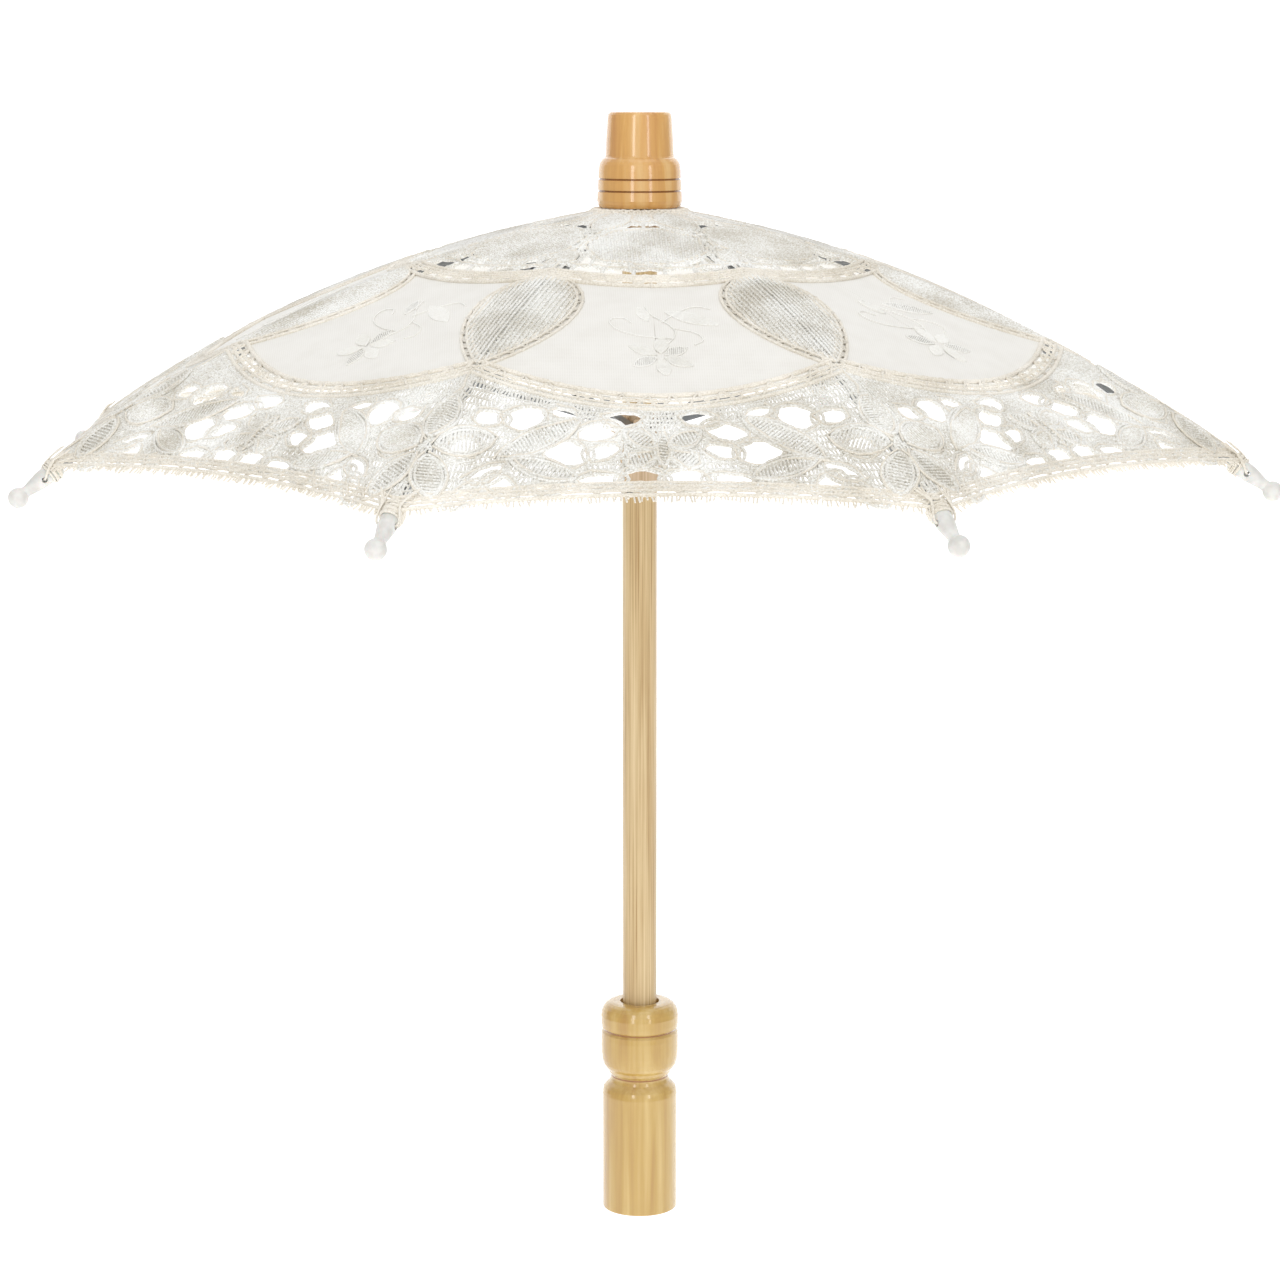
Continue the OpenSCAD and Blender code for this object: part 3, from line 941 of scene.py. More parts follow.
@dataclass
class Middle:
    """The plain cotton panels with their embroidery, and the net teardrops on the ribs.

    Lengths are in millimetres.

    Attributes:
        inner: Radius that the cotton starts from, under the ring.
        arc_mid: Distance of the cotton's outer edge from the axis at a panel's middle.
        arc_bend: How quickly that edge bends inwards to both sides.
        drop_in: Distance of a teardrop's round end from the axis.
        drop_out: Distance of its point.
        drop_half: Half of its width.
        drop_peak: Height of the teardrop's formula before it is scaled to its width.
        band: Width of the band along the cotton's outer edge.
        cloth: Thickness of the cotton.
        lap: How far the two halves of a panel lap at its middle.
        flower: Middle of the embroidered flower, in the panel's own frame.
        petals: Direction in degrees and length of each of its petals.
        leaves: Base, tip and width of the embroidered leaves.
        tendrils: Corner points of the embroidered stems and tendrils.
    """

    inner: float = 71.3
    arc_mid: float = 125.5
    arc_bend: float = 0.0069
    drop_in: float = 71.5
    drop_out: float = 120.5
    drop_half: float = 13.4
    drop_peak: float = 0.395
    band: float = 4.6
    cloth: float = 0.22
    lap: float = 0.22
    flower: Point = (108.0, 1.0)
    petals: tuple[Point, ...] = ((8, 8.6), (62, 9.2), (118, 8.0), (176, 8.8), (238, 9.6),
                                 (300, 8.4))
    leaves: tuple[tuple[Point, Point, float], ...] = (
        ((86.5, 3.0), (93.5, 17.0), 4.6), ((84.0, -4.0), (91.5, -1.5), 3.0))
    tendrils: tuple[tuple[Point, ...], ...] = (
        ((104, 2), (98, 6), (93, 4), (88, -1), (84, -2)),
        ((100, 5), (99, -4), (95, -11), (90, -12), (89, -8), (92, -6)),
        ((95, 5), (97, 11), (101, 13), (103, 10)),
        ((92, 2), (87, 6), (83, 11), (85, 15)))

    def along_drop(self, n: int) -> np.ndarray:
        """Distances from the axis along a teardrop, n of them, closest at its ends."""
        t = (1 - np.cos(np.linspace(0, math.pi, n))) / 2
        return self.drop_in + (self.drop_out - self.drop_in) * t

    def drop(self, x: np.ndarray) -> np.ndarray:
        """Half width of the teardrop at distances x from the axis."""
        t = np.clip((x - self.drop_in) / (self.drop_out - self.drop_in), 0, 1)
        return self.drop_half / self.drop_peak * t**0.5 * (1 - t) ** 0.95

    def drop_outline(self) -> np.ndarray:
        """Outline the teardrop.

        Returns:
            A closed line along and across a rib.
        """
        x = self.along_drop(60)
        y = self.drop(x)
        return np.vstack((np.column_stack((x, y)), np.column_stack((x, -y))[::-1][1:]))

    def arc(self, out: float) -> np.ndarray:
        """Follow the cotton's outer edge from rib to rib.

        Args:
            out: Distance outside the edge.

        Returns:
            Points in the panel's own frame.
        """
        s = np.linspace(-50, 50, 121)
        q = self.arc_mid + out - self.arc_bend * s**2
        keep = np.abs(s) <= q * math.tan(HALF)
        return np.column_stack((q[keep], s[keep]))

    def half_outline(self, side: int) -> np.ndarray:
        """Outline half a cotton panel beside a rib.

        Args:
            side: 1 or -1 for the two sides of the rib.

        Returns:
            Points along and across the rib: arc, teardrop, ring and the lap at the middle.
        """
        mid = np.array((math.cos(HALF), side * math.sin(HALF)))
        off = np.array((math.sin(HALF), -side * math.cos(HALF)))
        s = np.linspace(0, 46.5, 32)
        q = self.arc_mid - self.arc_bend * s**2
        far = q[:, None] * mid + s[:, None] * off
        far = far[side * far[:, 1] > self.drop(far[:, 0]) + 0.15]
        x = self.along_drop(46)
        edge = np.column_stack((x, side * self.drop(x)))[::-1]
        edge = edge[(np.hypot(edge[:, 0], edge[:, 1]) > self.inner + 0.05)
                    & (edge[:, 0] < far[-1, 0])]
        a = np.linspace(math.atan2(abs(edge[-1, 1]), edge[-1, 0]), HALF, 16)
        near = np.column_stack((np.cos(a), side * np.sin(a))) * self.inner
        lap = -self.lap * off
        return np.vstack((far[:1] + lap, far, edge, near, near[-1:] + lap))

    def cut(self) -> tuple[np.ndarray, list[list[int]]]:
        """Cut out the cotton beside a rib, half a panel on each side.

        Returns:
            Points along and across the rib, and the triangles between them.
        """
        verts: list[Point] = []
        faces: list[list[int]] = []
        for side in (1, -1):
            ring = self.half_outline(side)
            n = len(ring)
            gx, gy = np.meshgrid(np.arange(70, 128, 3.0), np.arange(1.5, 55, 3.0))
            grid = np.column_stack((gx.ravel(), side * gy.ravel()))
            cloud = [Vector(p) for p in np.vstack((ring, grid))]
            flat, _, tris, *_ = delaunay_2d_cdt(
                cloud, [(i, (i + 1) % n) for i in range(n)], [list(range(n))], 1, 1e-4)
            base = len(verts)
            verts += [tuple(p) for p in flat]
            faces += [[base + i for i in (f if side == 1 else f[::-1])] for f in tris]
        used = sorted({i for f in faces for i in f})
        index = {v: i for i, v in enumerate(used)}
        return np.array([verts[i] for i in used]), [[index[i] for i in f] for f in faces]

    def cotton(self, k: int, finish: bpy.types.Material) -> bpy.types.Object:
        """Make the cotton beside rib k, as one sheet in two halves.

        Args:
            k: The rib's number.
            finish: The material.

        Returns:
            The finished sheet.
        """
        points, faces = self.cut()
        # Neighbouring sheets lie at two heights, so that their laps don't share a surface.
        height = 0.12 + 0.06 * (k % 2)
        mesh = bpy.data.meshes.new(f"cotton_{k}")
        mesh.from_pydata((SURFACE.lift(rib_plan(k, points), height) * MM).tolist(), [], faces)
        mesh.update()
        if sum(p.normal.z for p in mesh.polygons) < 0:
            mesh.flip_normals()
        mesh.polygons.foreach_set("use_smooth", [True] * len(mesh.polygons))
        mesh.materials.append(finish)
        piece = bpy.data.objects.new(f"cotton_{k}", mesh)
        bpy.context.collection.objects.link(piece)
        thick = piece.modifiers.new("cloth", "SOLIDIFY")
        thick.thickness, thick.offset = self.cloth * MM, 0.0
        graph = bpy.context.evaluated_depsgraph_get()
        baked = bpy.data.meshes.new_from_object(piece.evaluated_get(graph))
        piece.modifiers.clear()
        piece.data = baked
        baked.set_sharp_from_angle(angle=math.radians(40))
        return piece

    def draw(self, book: LaceBook) -> None:
        """Draw the teardrops, the bands along the cotton's edge and the embroidery.

        Args:
            book: The canopy's lines.
        """
        for k in range(1, PANELS + 1):
            drop = rib_plan(k, self.drop_outline())
            book.tape(Layer.HEM, drop, 2.9, edge=0.5, filling=0.42, pitch=0.75)
            book.draw(Layer.HEM, drop, 0.45, height=0.35)
            book.net(drop, rib_angle(k), 1.35, 0.42)
            arc = self.arc(self.band / 2 - 0.4)
            book.tape(Layer.HEM, rib_plan(k + 0.5, arc), self.band + 0.8, edge=0.65,
                      filling=0.46, pitch=0.7)
            for out in (1.5, 3.1):
                book.draw(Layer.HEM, rib_plan(k + 0.5, self.arc(out)), 0.42, height=0.3)
            self.spray(book, k + 0.5)

    def spray(self, book: LaceBook, k: float) -> None:
        """Embroider one panel: a six-petal flower, two leaves and curled tendrils.

        Args:
            book: The canopy's lines.
            k: The rib's number and a half.
        """
        centre = np.array(self.flower)
        shapes = []
        for bearing, length in self.petals:
            way = np.array((math.cos(math.radians(bearing)), math.sin(math.radians(bearing))))
            shapes.append((tuple(centre + 1.2 * way), tuple(centre + length * way), 3.7))
        for p0, p1, width in (*shapes, *self.leaves):
            shape = leaf(p0, p1, width, 0.9, 12)
            book.draw(Layer.EMBROIDERY, rib_plan(k, shape), 0.2, height=0.2)
            angle = math.atan2(p1[1] - p0[1], p1[0] - p0[0]) + math.radians(58)
            for line in clip_lines(shape, angle, 0.5):
                book.draw(Layer.EMBROIDERY, rib_plan(k, line), 0.24, height=0.22, step=3.0)
        for line in self.tendrils:
            book.draw(Layer.EMBROIDERY, rib_plan(k, smooth(np.array(line, float))), 0.22,
                      height=0.2)


# Rounded holes in one half of a panel's border, each a few corners in the panel's own frame:
# distance out from the axis and distance from the panel's middle, in millimetres.
OPENINGS = (
    ((130.9, 45.6), (130.6, 42.4), (132.4, 39.6), (134.4, 40.4), (134.8, 45.6)),
    ((133, 38.8), (130, 35.5), (129.6, 31.5), (131.6, 29.6), (134.5, 31), (137, 35)),
    ((129.2, 27.5), (130.6, 22), (133, 21.5), (132, 27)),
    ((138.6, 20.8), (136.2, 17.6), (135.2, 13.4), (137.4, 11.6), (140, 14.2), (141, 19)),
    ((144, 29.2), (142, 25), (142.4, 20.6), (145.8, 19.6), (148.4, 21.4), (147.8, 26.4)),
    ((143.6, 17.6), (142.6, 11.6), (144.4, 11.2), (146.8, 14.8), (146.6, 17.8)),
    ((133.4, 14.6), (131.6, 10.4), (132, 5.8), (134.8, 6.4), (135.6, 10.6)),
    ((152.2, 9.6), (150.8, 5.2), (152.4, 1.2), (155, 1.2), (155, 9.6)),
    ((152.6, 20.4), (152.2, 12), (154.6, 11.6), (155.4, 20.4)),
    ((154, 49), (150.6, 45.6), (148.8, 41.2), (150.2, 40.2), (153.4, 43.4)),
    ((160.8, 53), (157.2, 50.2), (154.6, 47.2), (155.4, 45.4), (159.6, 49.4)),
    ((155.6, 43.4), (152.8, 42.4), (152.8, 39.8), (155.4, 37.6), (158.2, 38.2)),
    ((145.6, 52.5), (141.5, 51.5), (140.5, 48), (143, 46), (146, 48.2)),
    ((155, 31.5), (154.6, 26), (156.4, 26), (157, 31.5)))


@dataclass
class Border:
    """The outer lace: fans on the ribs, long leaves, blossoms, bars and the hem.

    Lengths are in millimetres.

    Attributes:
        corner: Distance of the canopy's corners from the axis.
        rise: How far the hem bends in at a panel's middle.
        hem_gap: Width of the hem's tape.
        inner_mid: Distance of the border's inner edge from the axis at a panel's middle.
        inner_bend: How quickly that edge bends inwards to both sides.
        inner_reach: Distance of its ends on the ribs.
        opening: How much larger the holes are worked than they are drawn.
        round_pitch: Spacing of the ground's threads round the canopy, as a share of its depth.
        out_pitch: Spacing of the threads from the inner edge out, as a share of half a panel.
    """

    corner: float = 176.0
    rise: float = 4.4
    hem_gap: float = 3.6
    inner_mid: float = 128.2
    inner_bend: float = 0.0069
    inner_reach: float = 119.0
    opening: float = 1.34
    round_pitch: float = 0.062
    out_pitch: float = 0.0165

    def hem(self, inward: float = 0.0) -> np.ndarray:
        """Follow the hem from corner to corner.

        Args:
            inward: Distance inside the hem.

        Returns:
            Points in the panel's own frame.
        """
        reach = (self.corner - inward * 1.08) * math.sin(HALF)
        s = np.linspace(-reach, reach, 161)
        q = self.corner * math.cos(HALF) - inward - self.rise * (
            1 - (s / (self.corner * math.sin(HALF))) ** 2)
        return np.column_stack((q, s))

    def openings(self) -> list[np.ndarray]:
        """Round and enlarge the drawn holes, on both sides of a panel's middle.

        Returns:
            Closed lines in the panel's own frame.
        """
        found = []
        for hole in OPENINGS:
            shape = np.array(hole, float)
            shape = shape.mean(axis=0) + (shape - shape.mean(axis=0)) * self.opening
            found += [smooth(shape * (1, way), True, 2) for way in (1, -1)]
        return found

    def passes(self) -> list[tuple[np.ndarray, float, float]]:
        """List the ground's threads, first those round the canopy and then those outwards.

        Returns:
            Rows of depth in the border, from 0 to 1, and place across the panel, from -1 to
            1, with each thread's radius and height.
        """
        found = [(np.column_stack((np.full(80, v), np.linspace(-1, 1, 80))), 0.34, 0.12)
                 for v in np.arange(0.03, 1, self.round_pitch)]
        found += [(np.column_stack((np.linspace(0, 1, 20),
                                    np.full(20, v) + 0.012 * noise(20, 9 * v))), 0.38, 0.0)
                  for v in np.arange(-0.985, 0.99, self.out_pitch)]
        return found

    def ground(self, book: LaceBook, k: float) -> None:
        """Work the solid parts of a panel's border: taped holes on close stitches.

        Args:
            book: The canopy's lines.
            k: The rib's number and a half.
        """
        holes = self.openings()
        for hole in holes:
            middle = hole.mean(axis=0)
            away = hole - middle
            reach = np.linalg.norm(away, axis=1)[:, None]
            book.tape(Layer.BORDER, rib_plan(k, middle + away * (1 + 0.8 / reach)), 1.3)
        for line, radius, height in self.passes():
            v, u = line[:, 0], line[:, 1]
            s_out = u * self.corner * math.sin(HALF)
            q_out = self.corner * math.cos(HALF) - self.hem_gap - self.rise * (1 - u**2)
            s_in = u * self.inner_reach * math.tan(HALF)
            q_in = self.inner_mid - self.inner_bend * s_in**2
            flat = np.column_stack((q_in + (q_out - q_in) * v, s_in + (s_out - s_in) * v))
            flat = resample(flat, 0.7)
            flat += 0.16 * np.column_stack((noise(len(flat), v[0] + 1), noise(len(flat), u[0])))
            held = np.ones(len(flat), bool)
            for hole in holes:
                held &= ~inside(flat, hole)
            for a, b in runs(held):
                if held[a] and b - a > 2:
                    book.draw(Layer.NET, rib_plan(k, flat[a:b]), radius, height, step=2.2)

    def filled_leaf(self, book: LaceBook, k: float, p0: Point, p1: Point, width: float,
                    tape: float = 2.0) -> None:
        """Draw a leaf with a taped edge and close crossing threads.

        Args:
            book: The canopy's lines.
            k: The rib's number, or that and a half for a panel's middle.
            p0: The leaf's base, out and across.
            p1: Its tip.
            width: Its width at the middle of its tape.
            tape: The tape's width.
        """
        shape = leaf(p0, p1, width, 0.72)
        for way in (-0.5, 0.5):
            rim = leaf(p0, p1, width + way * tape, 0.72)
            book.draw(Layer.BORDER, rib_plan(k, rim), 0.45, height=0.5)
        path = resample(rib_plan(k, shape), 0.75)
        reach = zigzag(len(path))[:, None] * tape / 2
        book.draw(Layer.STITCHES, path + normals(path) * reach, 0.36, height=0.7, step=WHOLE)
        angle = math.atan2(p1[1] - p0[1], p1[0] - p0[0]) + math.radians(78)
        for line in clip_lines(shape, angle, 0.95):
            book.draw(Layer.BORDER, rib_plan(k, line), 0.36, height=0.45, step=3.0)

    def draw(self, book: LaceBook) -> None:
        """Draw the whole border.

        Args:
            book: The canopy's lines.
        """
        for k in range(1, PANELS + 1):
            self.fan(book, k)
            self.panel(book, k + 0.5)
            self.edge(book, k + 0.5)

    def fan(self, book: LaceBook, k: int) -> None:
        """Draw the five-petal fan on a rib, and the bar that runs over the rib.

        Args:
            book: The canopy's lines.
            k: The rib's number.
        """
        book.tape(Layer.BORDER, rib_plan(k, [(121, 0), (134, 0)]), 2.2, edge=0.42, pitch=1.2)
        self.filled_leaf(book, k, (151, 0), (134.5, 0), 8.0)
        for s in (-1, 1):
            self.filled_leaf(book, k, (153, 2.5 * s), (145.5, 15.0 * s), 8.6)
            self.filled_leaf(book, k, (157.0, 1.8 * s), (169.0, 8.0 * s), 7.8)

    def panel(self, book: LaceBook, k: float) -> None:
        """Draw the ground, the leaves and the blossom of a panel.

        Args:
            book: The canopy's lines.
            k: The rib's number and a half.
        """
        self.ground(book, k)
        self.filled_leaf(book, k, (139, 0), (150, 0), 3.8, tape=1.4)
        for s in (-1, 1):
            self.filled_leaf(book, k, (147.5, 41 * s), (133.5, 20 * s), 7.0)
            self.filled_leaf(book, k, (147.5, 38 * s), (153.4, 21.5 * s), 5.8)
            self.filled_leaf(book, k, (143.5, 1.5 * s), (138.4, 9.5 * s), 5.4, tape=1.6)
            self.filled_leaf(book, k, (145.5, 1.5 * s), (149.6, 9.5 * s), 5.4, tape=1.6)

    def edge(self, book: LaceBook, k: float) -> None:
        """Draw the hem's cords, its zigzag and the fine fringe.

        Args:
            book: The canopy's lines.
            k: The rib's number and a half.
        """
        book.tape(Layer.HEM, rib_plan(k, (self.hem() + self.hem(self.hem_gap)) / 2),
                  self.hem_gap, edge=0.55, filling=0.46, pitch=0.62)
        for inward in (0.35, 0.65):
            book.draw(Layer.HEM, rib_plan(k, self.hem(self.hem_gap * inward)), 0.42, height=0.3)
        chance = np.random.default_rng(int(k * 10))
        for p in resample(self.hem(), 1.05)[2:-2]:
            tip = p + (chance.uniform(0.9, 2.3), chance.uniform(-0.7, 0.7))
            book.draw(Layer.HEM, rib_plan(k, np.vstack((p, tip))), 0.26, height=0.1, step=3.0)


@dataclass
class Canopy:
    """The canopy: eight sectors, each riding on its rib.

    Attributes:
        tool: Makes cord of drawn lines.
        lawn: Finish of the cotton.
        cream: Finish of the cords and stitches.
        ivory: Finish of the lace.
        silk: Finish of the embroidery.
        fold_keep: Share of its width that a sector keeps when it is folded; not used.
        fold_out: Distance from the axis of the point that it narrows towards, in metres; not used.
        fold_z: That point's height; not used.
        sheet: Length and width of a cotton sheet laid flat, in metres; not used.
    """

    tool: ThreadTool
    lawn: bpy.types.Material
    cream: bpy.types.Material
    ivory: bpy.types.Material
    silk: bpy.types.Material
    fold_keep: float = 0.2
    fold_out: float = 0.1
    fold_z: float = 0.25
    sheet: Point = (0.104, 0.058)

    def build(self) -> None:
        """Draw all the lace, make its pieces and hang each on its rib."""
        book = LaceBook()
        middle = Middle()
        Heart().draw(book)
        middle.draw(book)
        Border().draw(book)
        finish = {Layer.HEART: self.ivory, Layer.NET: self.ivory, Layer.BORDER: self.ivory,
                  Layer.HEM: self.cream, Layer.STITCHES: self.cream, Layer.EMBROIDERY: self.silk}
        for k in range(1, PANELS + 1):
            pieces = []
            for layer in Layer:
                sides = 4 if layer in (Layer.NET, Layer.STITCHES) else 5
                pieces.append(self.tool.spin(f"lace_{layer.value}_{k}", book.lines[k, layer],
                                             finish[layer], sides))
            cotton = middle.cotton(k, self.lawn)
            for piece in [cotton, *pieces]:
                self.hang(piece, k)
                LOG.info("%s: %d faces", piece.name, len(piece.data.polygons))
            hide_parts(f"canopy_{k}")

    def hang(self, piece: bpy.types.Object, k: int) -> None:
        """Let a piece ride on a rib.

        Args:
            piece: The piece.
            k: The rib's number.
        """
        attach(piece, f"rib_arm_{k}")
        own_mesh(piece)


@dataclass
class Corners:
    """Thread bindings that hold the canopy's corners to the drilled rib tips.

    Lengths are in millimetres. Points are given out along the rib's end, across it and up
    from it, from the centre of the tip's ball.

    Attributes:
        tool: Makes cord of drawn lines.
        finish: Finish of the thread.
        eye_back: Distance of the eye behind the ball.
        tip_r: Radius of the tip under the winding.
        wound: Stretch of the tip that is wound.
        turns: Turns of the winding.
        stitches: Threads from the cloth through the eye.
        winding: Radius of the wound thread.
        thread: Radius of the stitches' thread.
    """

    tool: ThreadTool
    finish: bpy.types.Material
    eye_back: float = 8.4
    tip_r: float = 2.5
    wound: Point = (-13.6, -10.6)
    turns: float = 6.5
    stitches: int = 7
    winding: float = 0.32
    thread: float = 0.24

    def wrap(self) -> np.ndarray:
        """Wind a thread round the tip.

        Returns:
            The thread's points.
        """
        a = np.linspace(0, 2 * math.pi * self.turns, 120)
        r = self.tip_r + 0.3 + 0.15 * np.sin(1.7 * a)
        return np.column_stack((np.linspace(*self.wound, 120) + 0.25 * np.sin(a * 0.7),
                                r * np.sin(a), r * np.cos(a)))

    def stitch(self, way: int, chance: np.random.Generator) -> np.ndarray:
        """Lead one thread from the cloth through the eye and back.

        Args:
            way: 1 or -1 for the side it starts from.
            chance: Source of its uneven places.

        Returns:
            The thread's points.
        """
        back = -16.5 - chance.uniform(0, 3.0)
        side = way * chance.uniform(1.0, 6.0)
        path = np.array([
            (back, side, 3.2 - 0.1 * abs(side)), (-13.0, way * 2.2, 3.0),
            (-10.0, way * 3.2, 1.6), (-self.eye_back, way * 2.8, 0.1),
            (-self.eye_back, 0.0, chance.uniform(-0.3, 0.3)),
            (-self.eye_back, -way * 2.8, -0.1), (-10.0, -way * 3.1, 1.4),
            (-14.0, -way * 2.4, 2.9)])
        return smooth(path, rounds=2)

    def build(self) -> None:
        """Bind every corner to its tip."""
        slope = math.atan2(SURFACE.ball_x - SURFACE.arc_x, SURFACE.ball_z - SURFACE.arc_z)
        tip_frame = np.array(((math.cos(slope), 0.0, -math.sin(slope)), (0.0, 1.0, 0.0),
                              (math.sin(slope), 0.0, math.cos(slope))))
        ball = np.array((SURFACE.ball_x, 0.0, SURFACE.ball_z))
        for k in range(1, PANELS + 1):
            th = rib_angle(k)
            turn = np.array(((math.sin(th), math.cos(th), 0), (-math.cos(th), math.sin(th), 0),
                             (0, 0, 1.0)))
            chance = np.random.default_rng(40 + k)
            drawn = [(self.wrap(), self.winding)]
            drawn += [(self.stitch(1 if i % 2 else -1, chance), self.thread)
                      for i in range(self.stitches)]
            lines = [(resample(ball + p @ tip_frame, 0.6) @ turn.T, w) for p, w in drawn]
            piece = self.tool.spin(f"corner_binding_{k}", lines, self.finish, 5)
            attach(piece, f"rib_arm_{k}")
            LOG.info("%s: %d threads", piece.name, len(lines))


@dataclass
class Crown:
    """Gathered lace under the finial, fixed to the shaft.

    Lengths are in millimetres.

    Attributes:
        tool: Makes cord of drawn lines.
        finish: Finish of the cord.
        top: Height of the finial's underside, which the ruffle stays under.
        foot: Radius inside which it is pressed flat.
        rounds: For each looped cord its loops, inner and outer radius, height and radius.
    """

    tool: ThreadTool
    finish: bpy.types.Material
    top: float = 302.3
    foot: float = 11.5
    rounds: tuple[tuple[int, float, float, float, float], ...] = (
        (34, 8.0, 14.2, 0.3, 0.5), (41, 7.5, 13.4, 0.8, 0.45), (29, 8.5, 15.0, 0.1, 0.45))

    def build(self) -> None:
        """Make a shallow ruffle of looped cord."""
        a = np.linspace(0, 2 * math.pi, 1081)
        lines = []
        for n, r0, r1, height, cord in self.rounds:
            r = (r0 + r1) / 2 + (r1 - r0) / 2 * np.cos(n * a)
            x = a + 0.05 * np.sin(n * a)
            p = SURFACE.lift(np.column_stack((r * np.sin(x), -r * np.cos(x))), height + cord)
            p[:, 2] = np.minimum(p[:, 2], self.top - cord + 0.4 * np.clip(r - self.foot, 0, 1))
            lines.append((p, cord))
        piece = self.tool.spin("crown_ruffle", lines, self.finish, 5)
        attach(piece, "shaft_set")
        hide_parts("canopy_crown")
        LOG.info("%s: %d cords", piece.name, len(lines))


@dataclass
class Hardware:
    """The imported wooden, steel and plastic nodes, dressed in their finishes.

    Attributes:
        finishes: A material for each node's name, with # for the ribs' numbers.
    """

    finishes: dict[str, bpy.types.Material]

    def dress(self) -> None:
        """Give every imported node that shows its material."""
        for name, finish in self.finishes.items():
            for k in [""] if "#" not in name else range(1, PANELS + 1):
                node = bpy.data.objects[name.replace("#", str(k))]
                node.data.materials.clear()
                node.data.materials.append(finish)
                LOG.info("%s: %s", node.name, finish.name)


@dataclass
class Studio:
    """Pale floor and backdrop, soft lights, and the camera.

    Lengths are in metres and angles in degrees.

    Attributes:
        lens: The camera's focal length in millimetres.
        pitch: How far it looks down.
        yaw: How far it stands to the side.
        distance: Its distance from the parasol's axis.
        height: Its height.
        aside: How far it is moved square to its view.
        floor_z: Height of the floor.
        half_wide: Half of the floor's width.
        bend_at: Distance behind the axis where the floor starts to rise.
        bend_r: Radius of its rise.
        aim_z: Height of the point that the lamps face.
        front_sky: Strength of the surroundings' light from front and back.
        side_sky: Strength of their light from the sides, lower so that round pieces show.
        lamps: Name, place, width and height, and watts of each soft box.
    """

    lens: float = 92.85
    pitch: float = 9.926
    yaw: float = -2.34
    distance: float = 0.965
    height: float = 0.344
    aside: float = 0.0001
    floor_z: float = -0.45
    half_wide: float = 4.0
    bend_at: float = 1.6
    bend_r: float = 0.8
    aim_z: float = 0.25
    front_sky: float = 0.91
    side_sky: float = 0.5
    lamps: tuple[tuple[str, tuple[float, float, float], Point, float], ...] = (
        ("key", (-0.55, -1.35, 0.75), (0.22, 1.3), 3.4),
        ("fill", (0.62, -1.2, 0.7), (0.16, 1.2), 2.1),
        ("top", (0.1, -0.3, 1.6), (1.2, 1.0), 1.9))

    def camera(self) -> None:
        """Place the camera."""
        data = bpy.data.cameras.new("camera")
        data.lens, data.sensor_width, data.clip_start = self.lens, 36.0, 0.05
        cam = bpy.data.objects.new("camera", data)
        bpy.context.collection.objects.link(cam)
        g = math.radians(self.yaw)
        cam.location = (self.distance * math.sin(g) + self.aside * math.cos(g),
                        -self.distance * math.cos(g) + self.aside * math.sin(g), self.height)
        cam.rotation_euler = (math.radians(90 - self.pitch), 0.0, g)
        bpy.context.scene.camera = cam

    def backdrop(self) -> None:
        """Make the floor that rises into a wall behind, in matt white paper that glows a little."""
        mat, tree, place = fresh("pale_paper_backdrop")
        cloud = add(tree, "ShaderNodeTexNoise", Vector=place, Scale=rate(500), Detail=2.0)
        colour = add(tree, "ShaderNodeValToRGB",
                     {"stops": [(0.3, "#FBFBFB"), (0.7, "#FEFEFE")]}, Fac=cloud.outputs["Fac"])
        shader = add(tree, "ShaderNodeBsdfPrincipled", Base_Color=colour.outputs["Color"],
                     Roughness=0.9, Emission_Color=srgb("#FFFFFF"), Emission_Strength=0.4)
        add(tree, "ShaderNodeOutputMaterial", Surface=shader.outputs[0])
        a = np.linspace(0, math.pi / 2, 17)
        bend = zip(self.bend_at + self.bend_r * np.sin(a), self.bend_r - self.bend_r * np.cos(a))
        line = [(-3.0, 0.0), *bend, (self.bend_at + self.bend_r, 4.0)]
        verts = [(x, y, z + self.floor_z) for x in (-self.half_wide, self.half_wide)
                 for y, z in line]
        n = len(line)
        mesh = bpy.data.meshes.new("backdrop")
        mesh.from_pydata(verts, [], [(i, n + i, n + i + 1, i + 1) for i in range(n - 1)])
        mesh.polygons.foreach_set("use_smooth", [True] * (n - 1))
        mesh.materials.append(mat)
        floor = bpy.data.objects.new("backdrop", mesh)
        bpy.context.collection.objects.link(floor)

    def lamp(self, name: str, at: tuple[float, float, float], size: Point, power: float) -> None:
        """Add a soft box that faces the parasol.

        Args:
            name: The lamp's name.
            at: Its place in metres.
            size: Its width and height.
            power: Watts.
        """
        data = bpy.data.lights.new(name, "AREA")
        data.shape, data.size, data.size_y, data.energy = "RECTANGLE", *size, power
        lamp = bpy.data.objects.new(name, data)
        bpy.context.collection.objects.link(lamp)
        lamp.location = at
        aim = Vector((0, 0, self.aim_z)) - Vector(at)
        lamp.rotation_euler = aim.to_track_quat("-Z", "Y").to_euler()

    def surroundings(self) -> None:
        """Light the scene from all round, with less light from the two sides."""
        world = bpy.data.worlds.new("studio")
        world.use_nodes = True
        tree = world.node_tree
        way = add(tree, "ShaderNodeTexCoord").outputs["Generated"]
        side = add(tree, "ShaderNodeMath", {"operation": "ABSOLUTE"},
                   i0=add(tree, "ShaderNodeSeparateXYZ", Vector=way).outputs["X"])
        level = add(tree, "ShaderNodeMapRange", Value=side.outputs[0], From_Min=0.25,
                    From_Max=0.85, To_Min=self.front_sky, To_Max=self.side_sky)
        sky = tree.nodes["Background"]
        sky.inputs["Color"].default_value = srgb("#FFFFFF")
        tree.links.new(level.outputs[0], sky.inputs["Strength"])
        bpy.context.scene.world = world

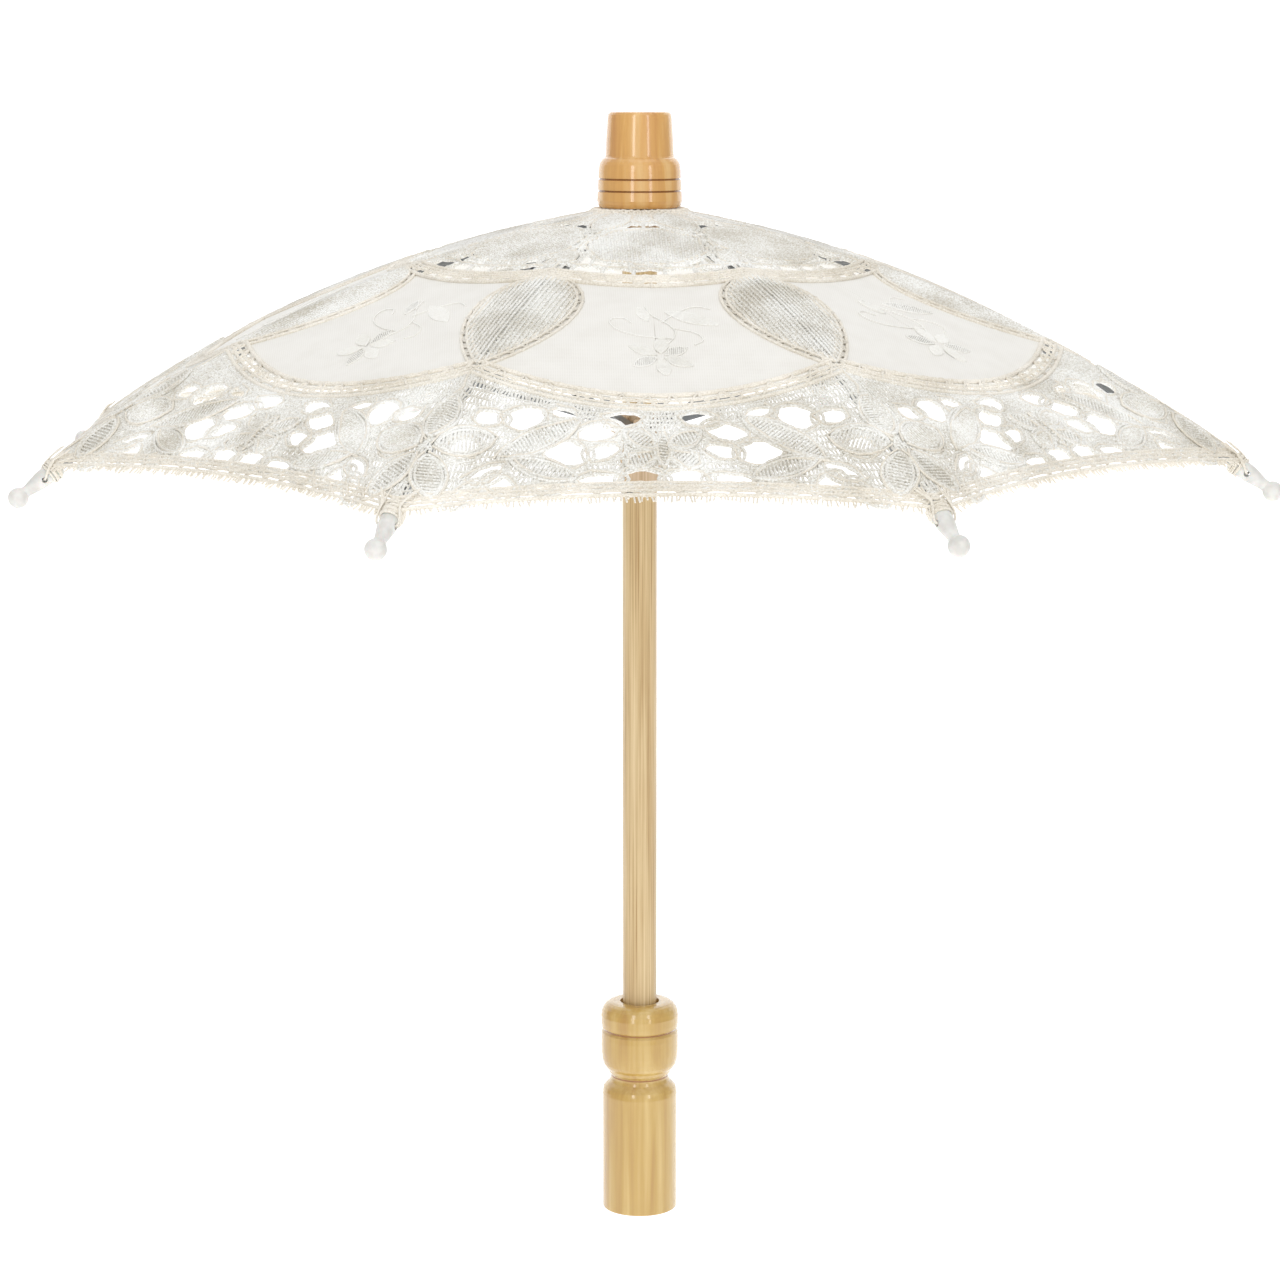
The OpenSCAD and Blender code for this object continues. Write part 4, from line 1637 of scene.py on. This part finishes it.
    def build(self) -> None:
        """Set the camera, the stage, the surroundings and the lamps."""
        self.camera()
        self.backdrop()
        self.surroundings()
        bpy.context.scene.view_settings.view_transform = "Standard"
        for name, at, size, power in self.lamps:
            self.lamp(name, at, size, power)


def hardware() -> Hardware:
    """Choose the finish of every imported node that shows.

    Returns:
        The nodes with their materials.
    """
    # Bamboo rod: straight narrow grain in strong contrast under a thin varnish.
    bamboo = Wood("varnished_bamboo", "#DCC498", "#CAAE7E", "#A8834E", grain_mm=0.42,
                  streak_mm=60, rough=0.36, coat=0.4, contrast=1.2).make()
    # Turned beech: wide soft grain, a thick varnish that reflects the lamps clearly, and painted
    # shade in the turned grooves.
    pale = Wood("varnished_pale_beech", "#D6B876", "#C4A055", "#B08342", grain_mm=1.6,
                streak_mm=70, rough=0.2, coat=1.0, contrast=0.75, grain_share=0.3,
                burnt_mm=(41.6, 56.1)).make()
    honey = Wood("varnished_honey_beech", "#E9C284", "#DCA85E", "#CB9150", grain_mm=1.4,
                 streak_mm=60, rough=0.2, coat=1.0, contrast=0.75, grain_share=0.3,
                 burnt_mm=(307.4, 310.8)).make()
    # Runner and notch are hardly varnished, so they look dull beside the rod; their greyer, pinkish
    # tan is painted shade, the wood as it looks in shade behind the lace.
    tan = Wood("satin_beech_painted_shade", "#DCC6AA", "#CDB394", "#B2946F", grain_mm=0.5, streak_mm=25,
               rough=0.4, coat=0.3, contrast=0.9).make()
    # Rolled strip looks grey and soft, drawn wire brighter, tempered spring brown.
    strip = Steel("rolled_steel_strip").make()
    wire = Steel("drawn_steel_wire", "#A8AAAB", 0.28).make()
    spring = Steel("dark_spring_steel", "#6A5F52", 0.4).make()
    plastic = Plastic("moulded_white_polyethylene").make()
    return Hardware({
        "shaft": bamboo, "handle": pale, "finial": honey, "top_notch": tan, "runner": tan,
        "notch_wire": wire, "runner_wire": wire, "stop_pin": wire, "catch_pin": wire,
        "spring_catch": spring, "rib_#": strip, "stretcher_#": strip, "bracket_#": strip,
        "rivet_#": wire, "rib_tip_#": plastic})


def main() -> None:
    """Build the studio, dress the frame and make the canopy."""
    logging.basicConfig(level=logging.INFO, format="%(name)s %(message)s")
    Studio().build()
    hardware().dress()
    tool = ThreadTool()
    lawn = Lawn("starched_cotton_lawn").make()
    # Cords look cream and the thinner lace yarn nearly white; floss is smoother than both.
    cream = Yarn("cream_cotton_cord", "#FBF6EC", "#DFD7C7").make()
    ivory = Yarn("ivory_cotton_yarn", "#FFFFFC", "#CFC9BB", ply_mm=0.5).make()
    silk = Yarn("embroidery_floss", "#FAF9F5", "#F1EFE8", ply_mm=0.5, bump=0.3).make()
    Canopy(tool, lawn, cream, ivory, silk).build()
    Corners(tool, cream).build()
    Crown(tool, cream).build()


if __name__ == "__main__":
    main()
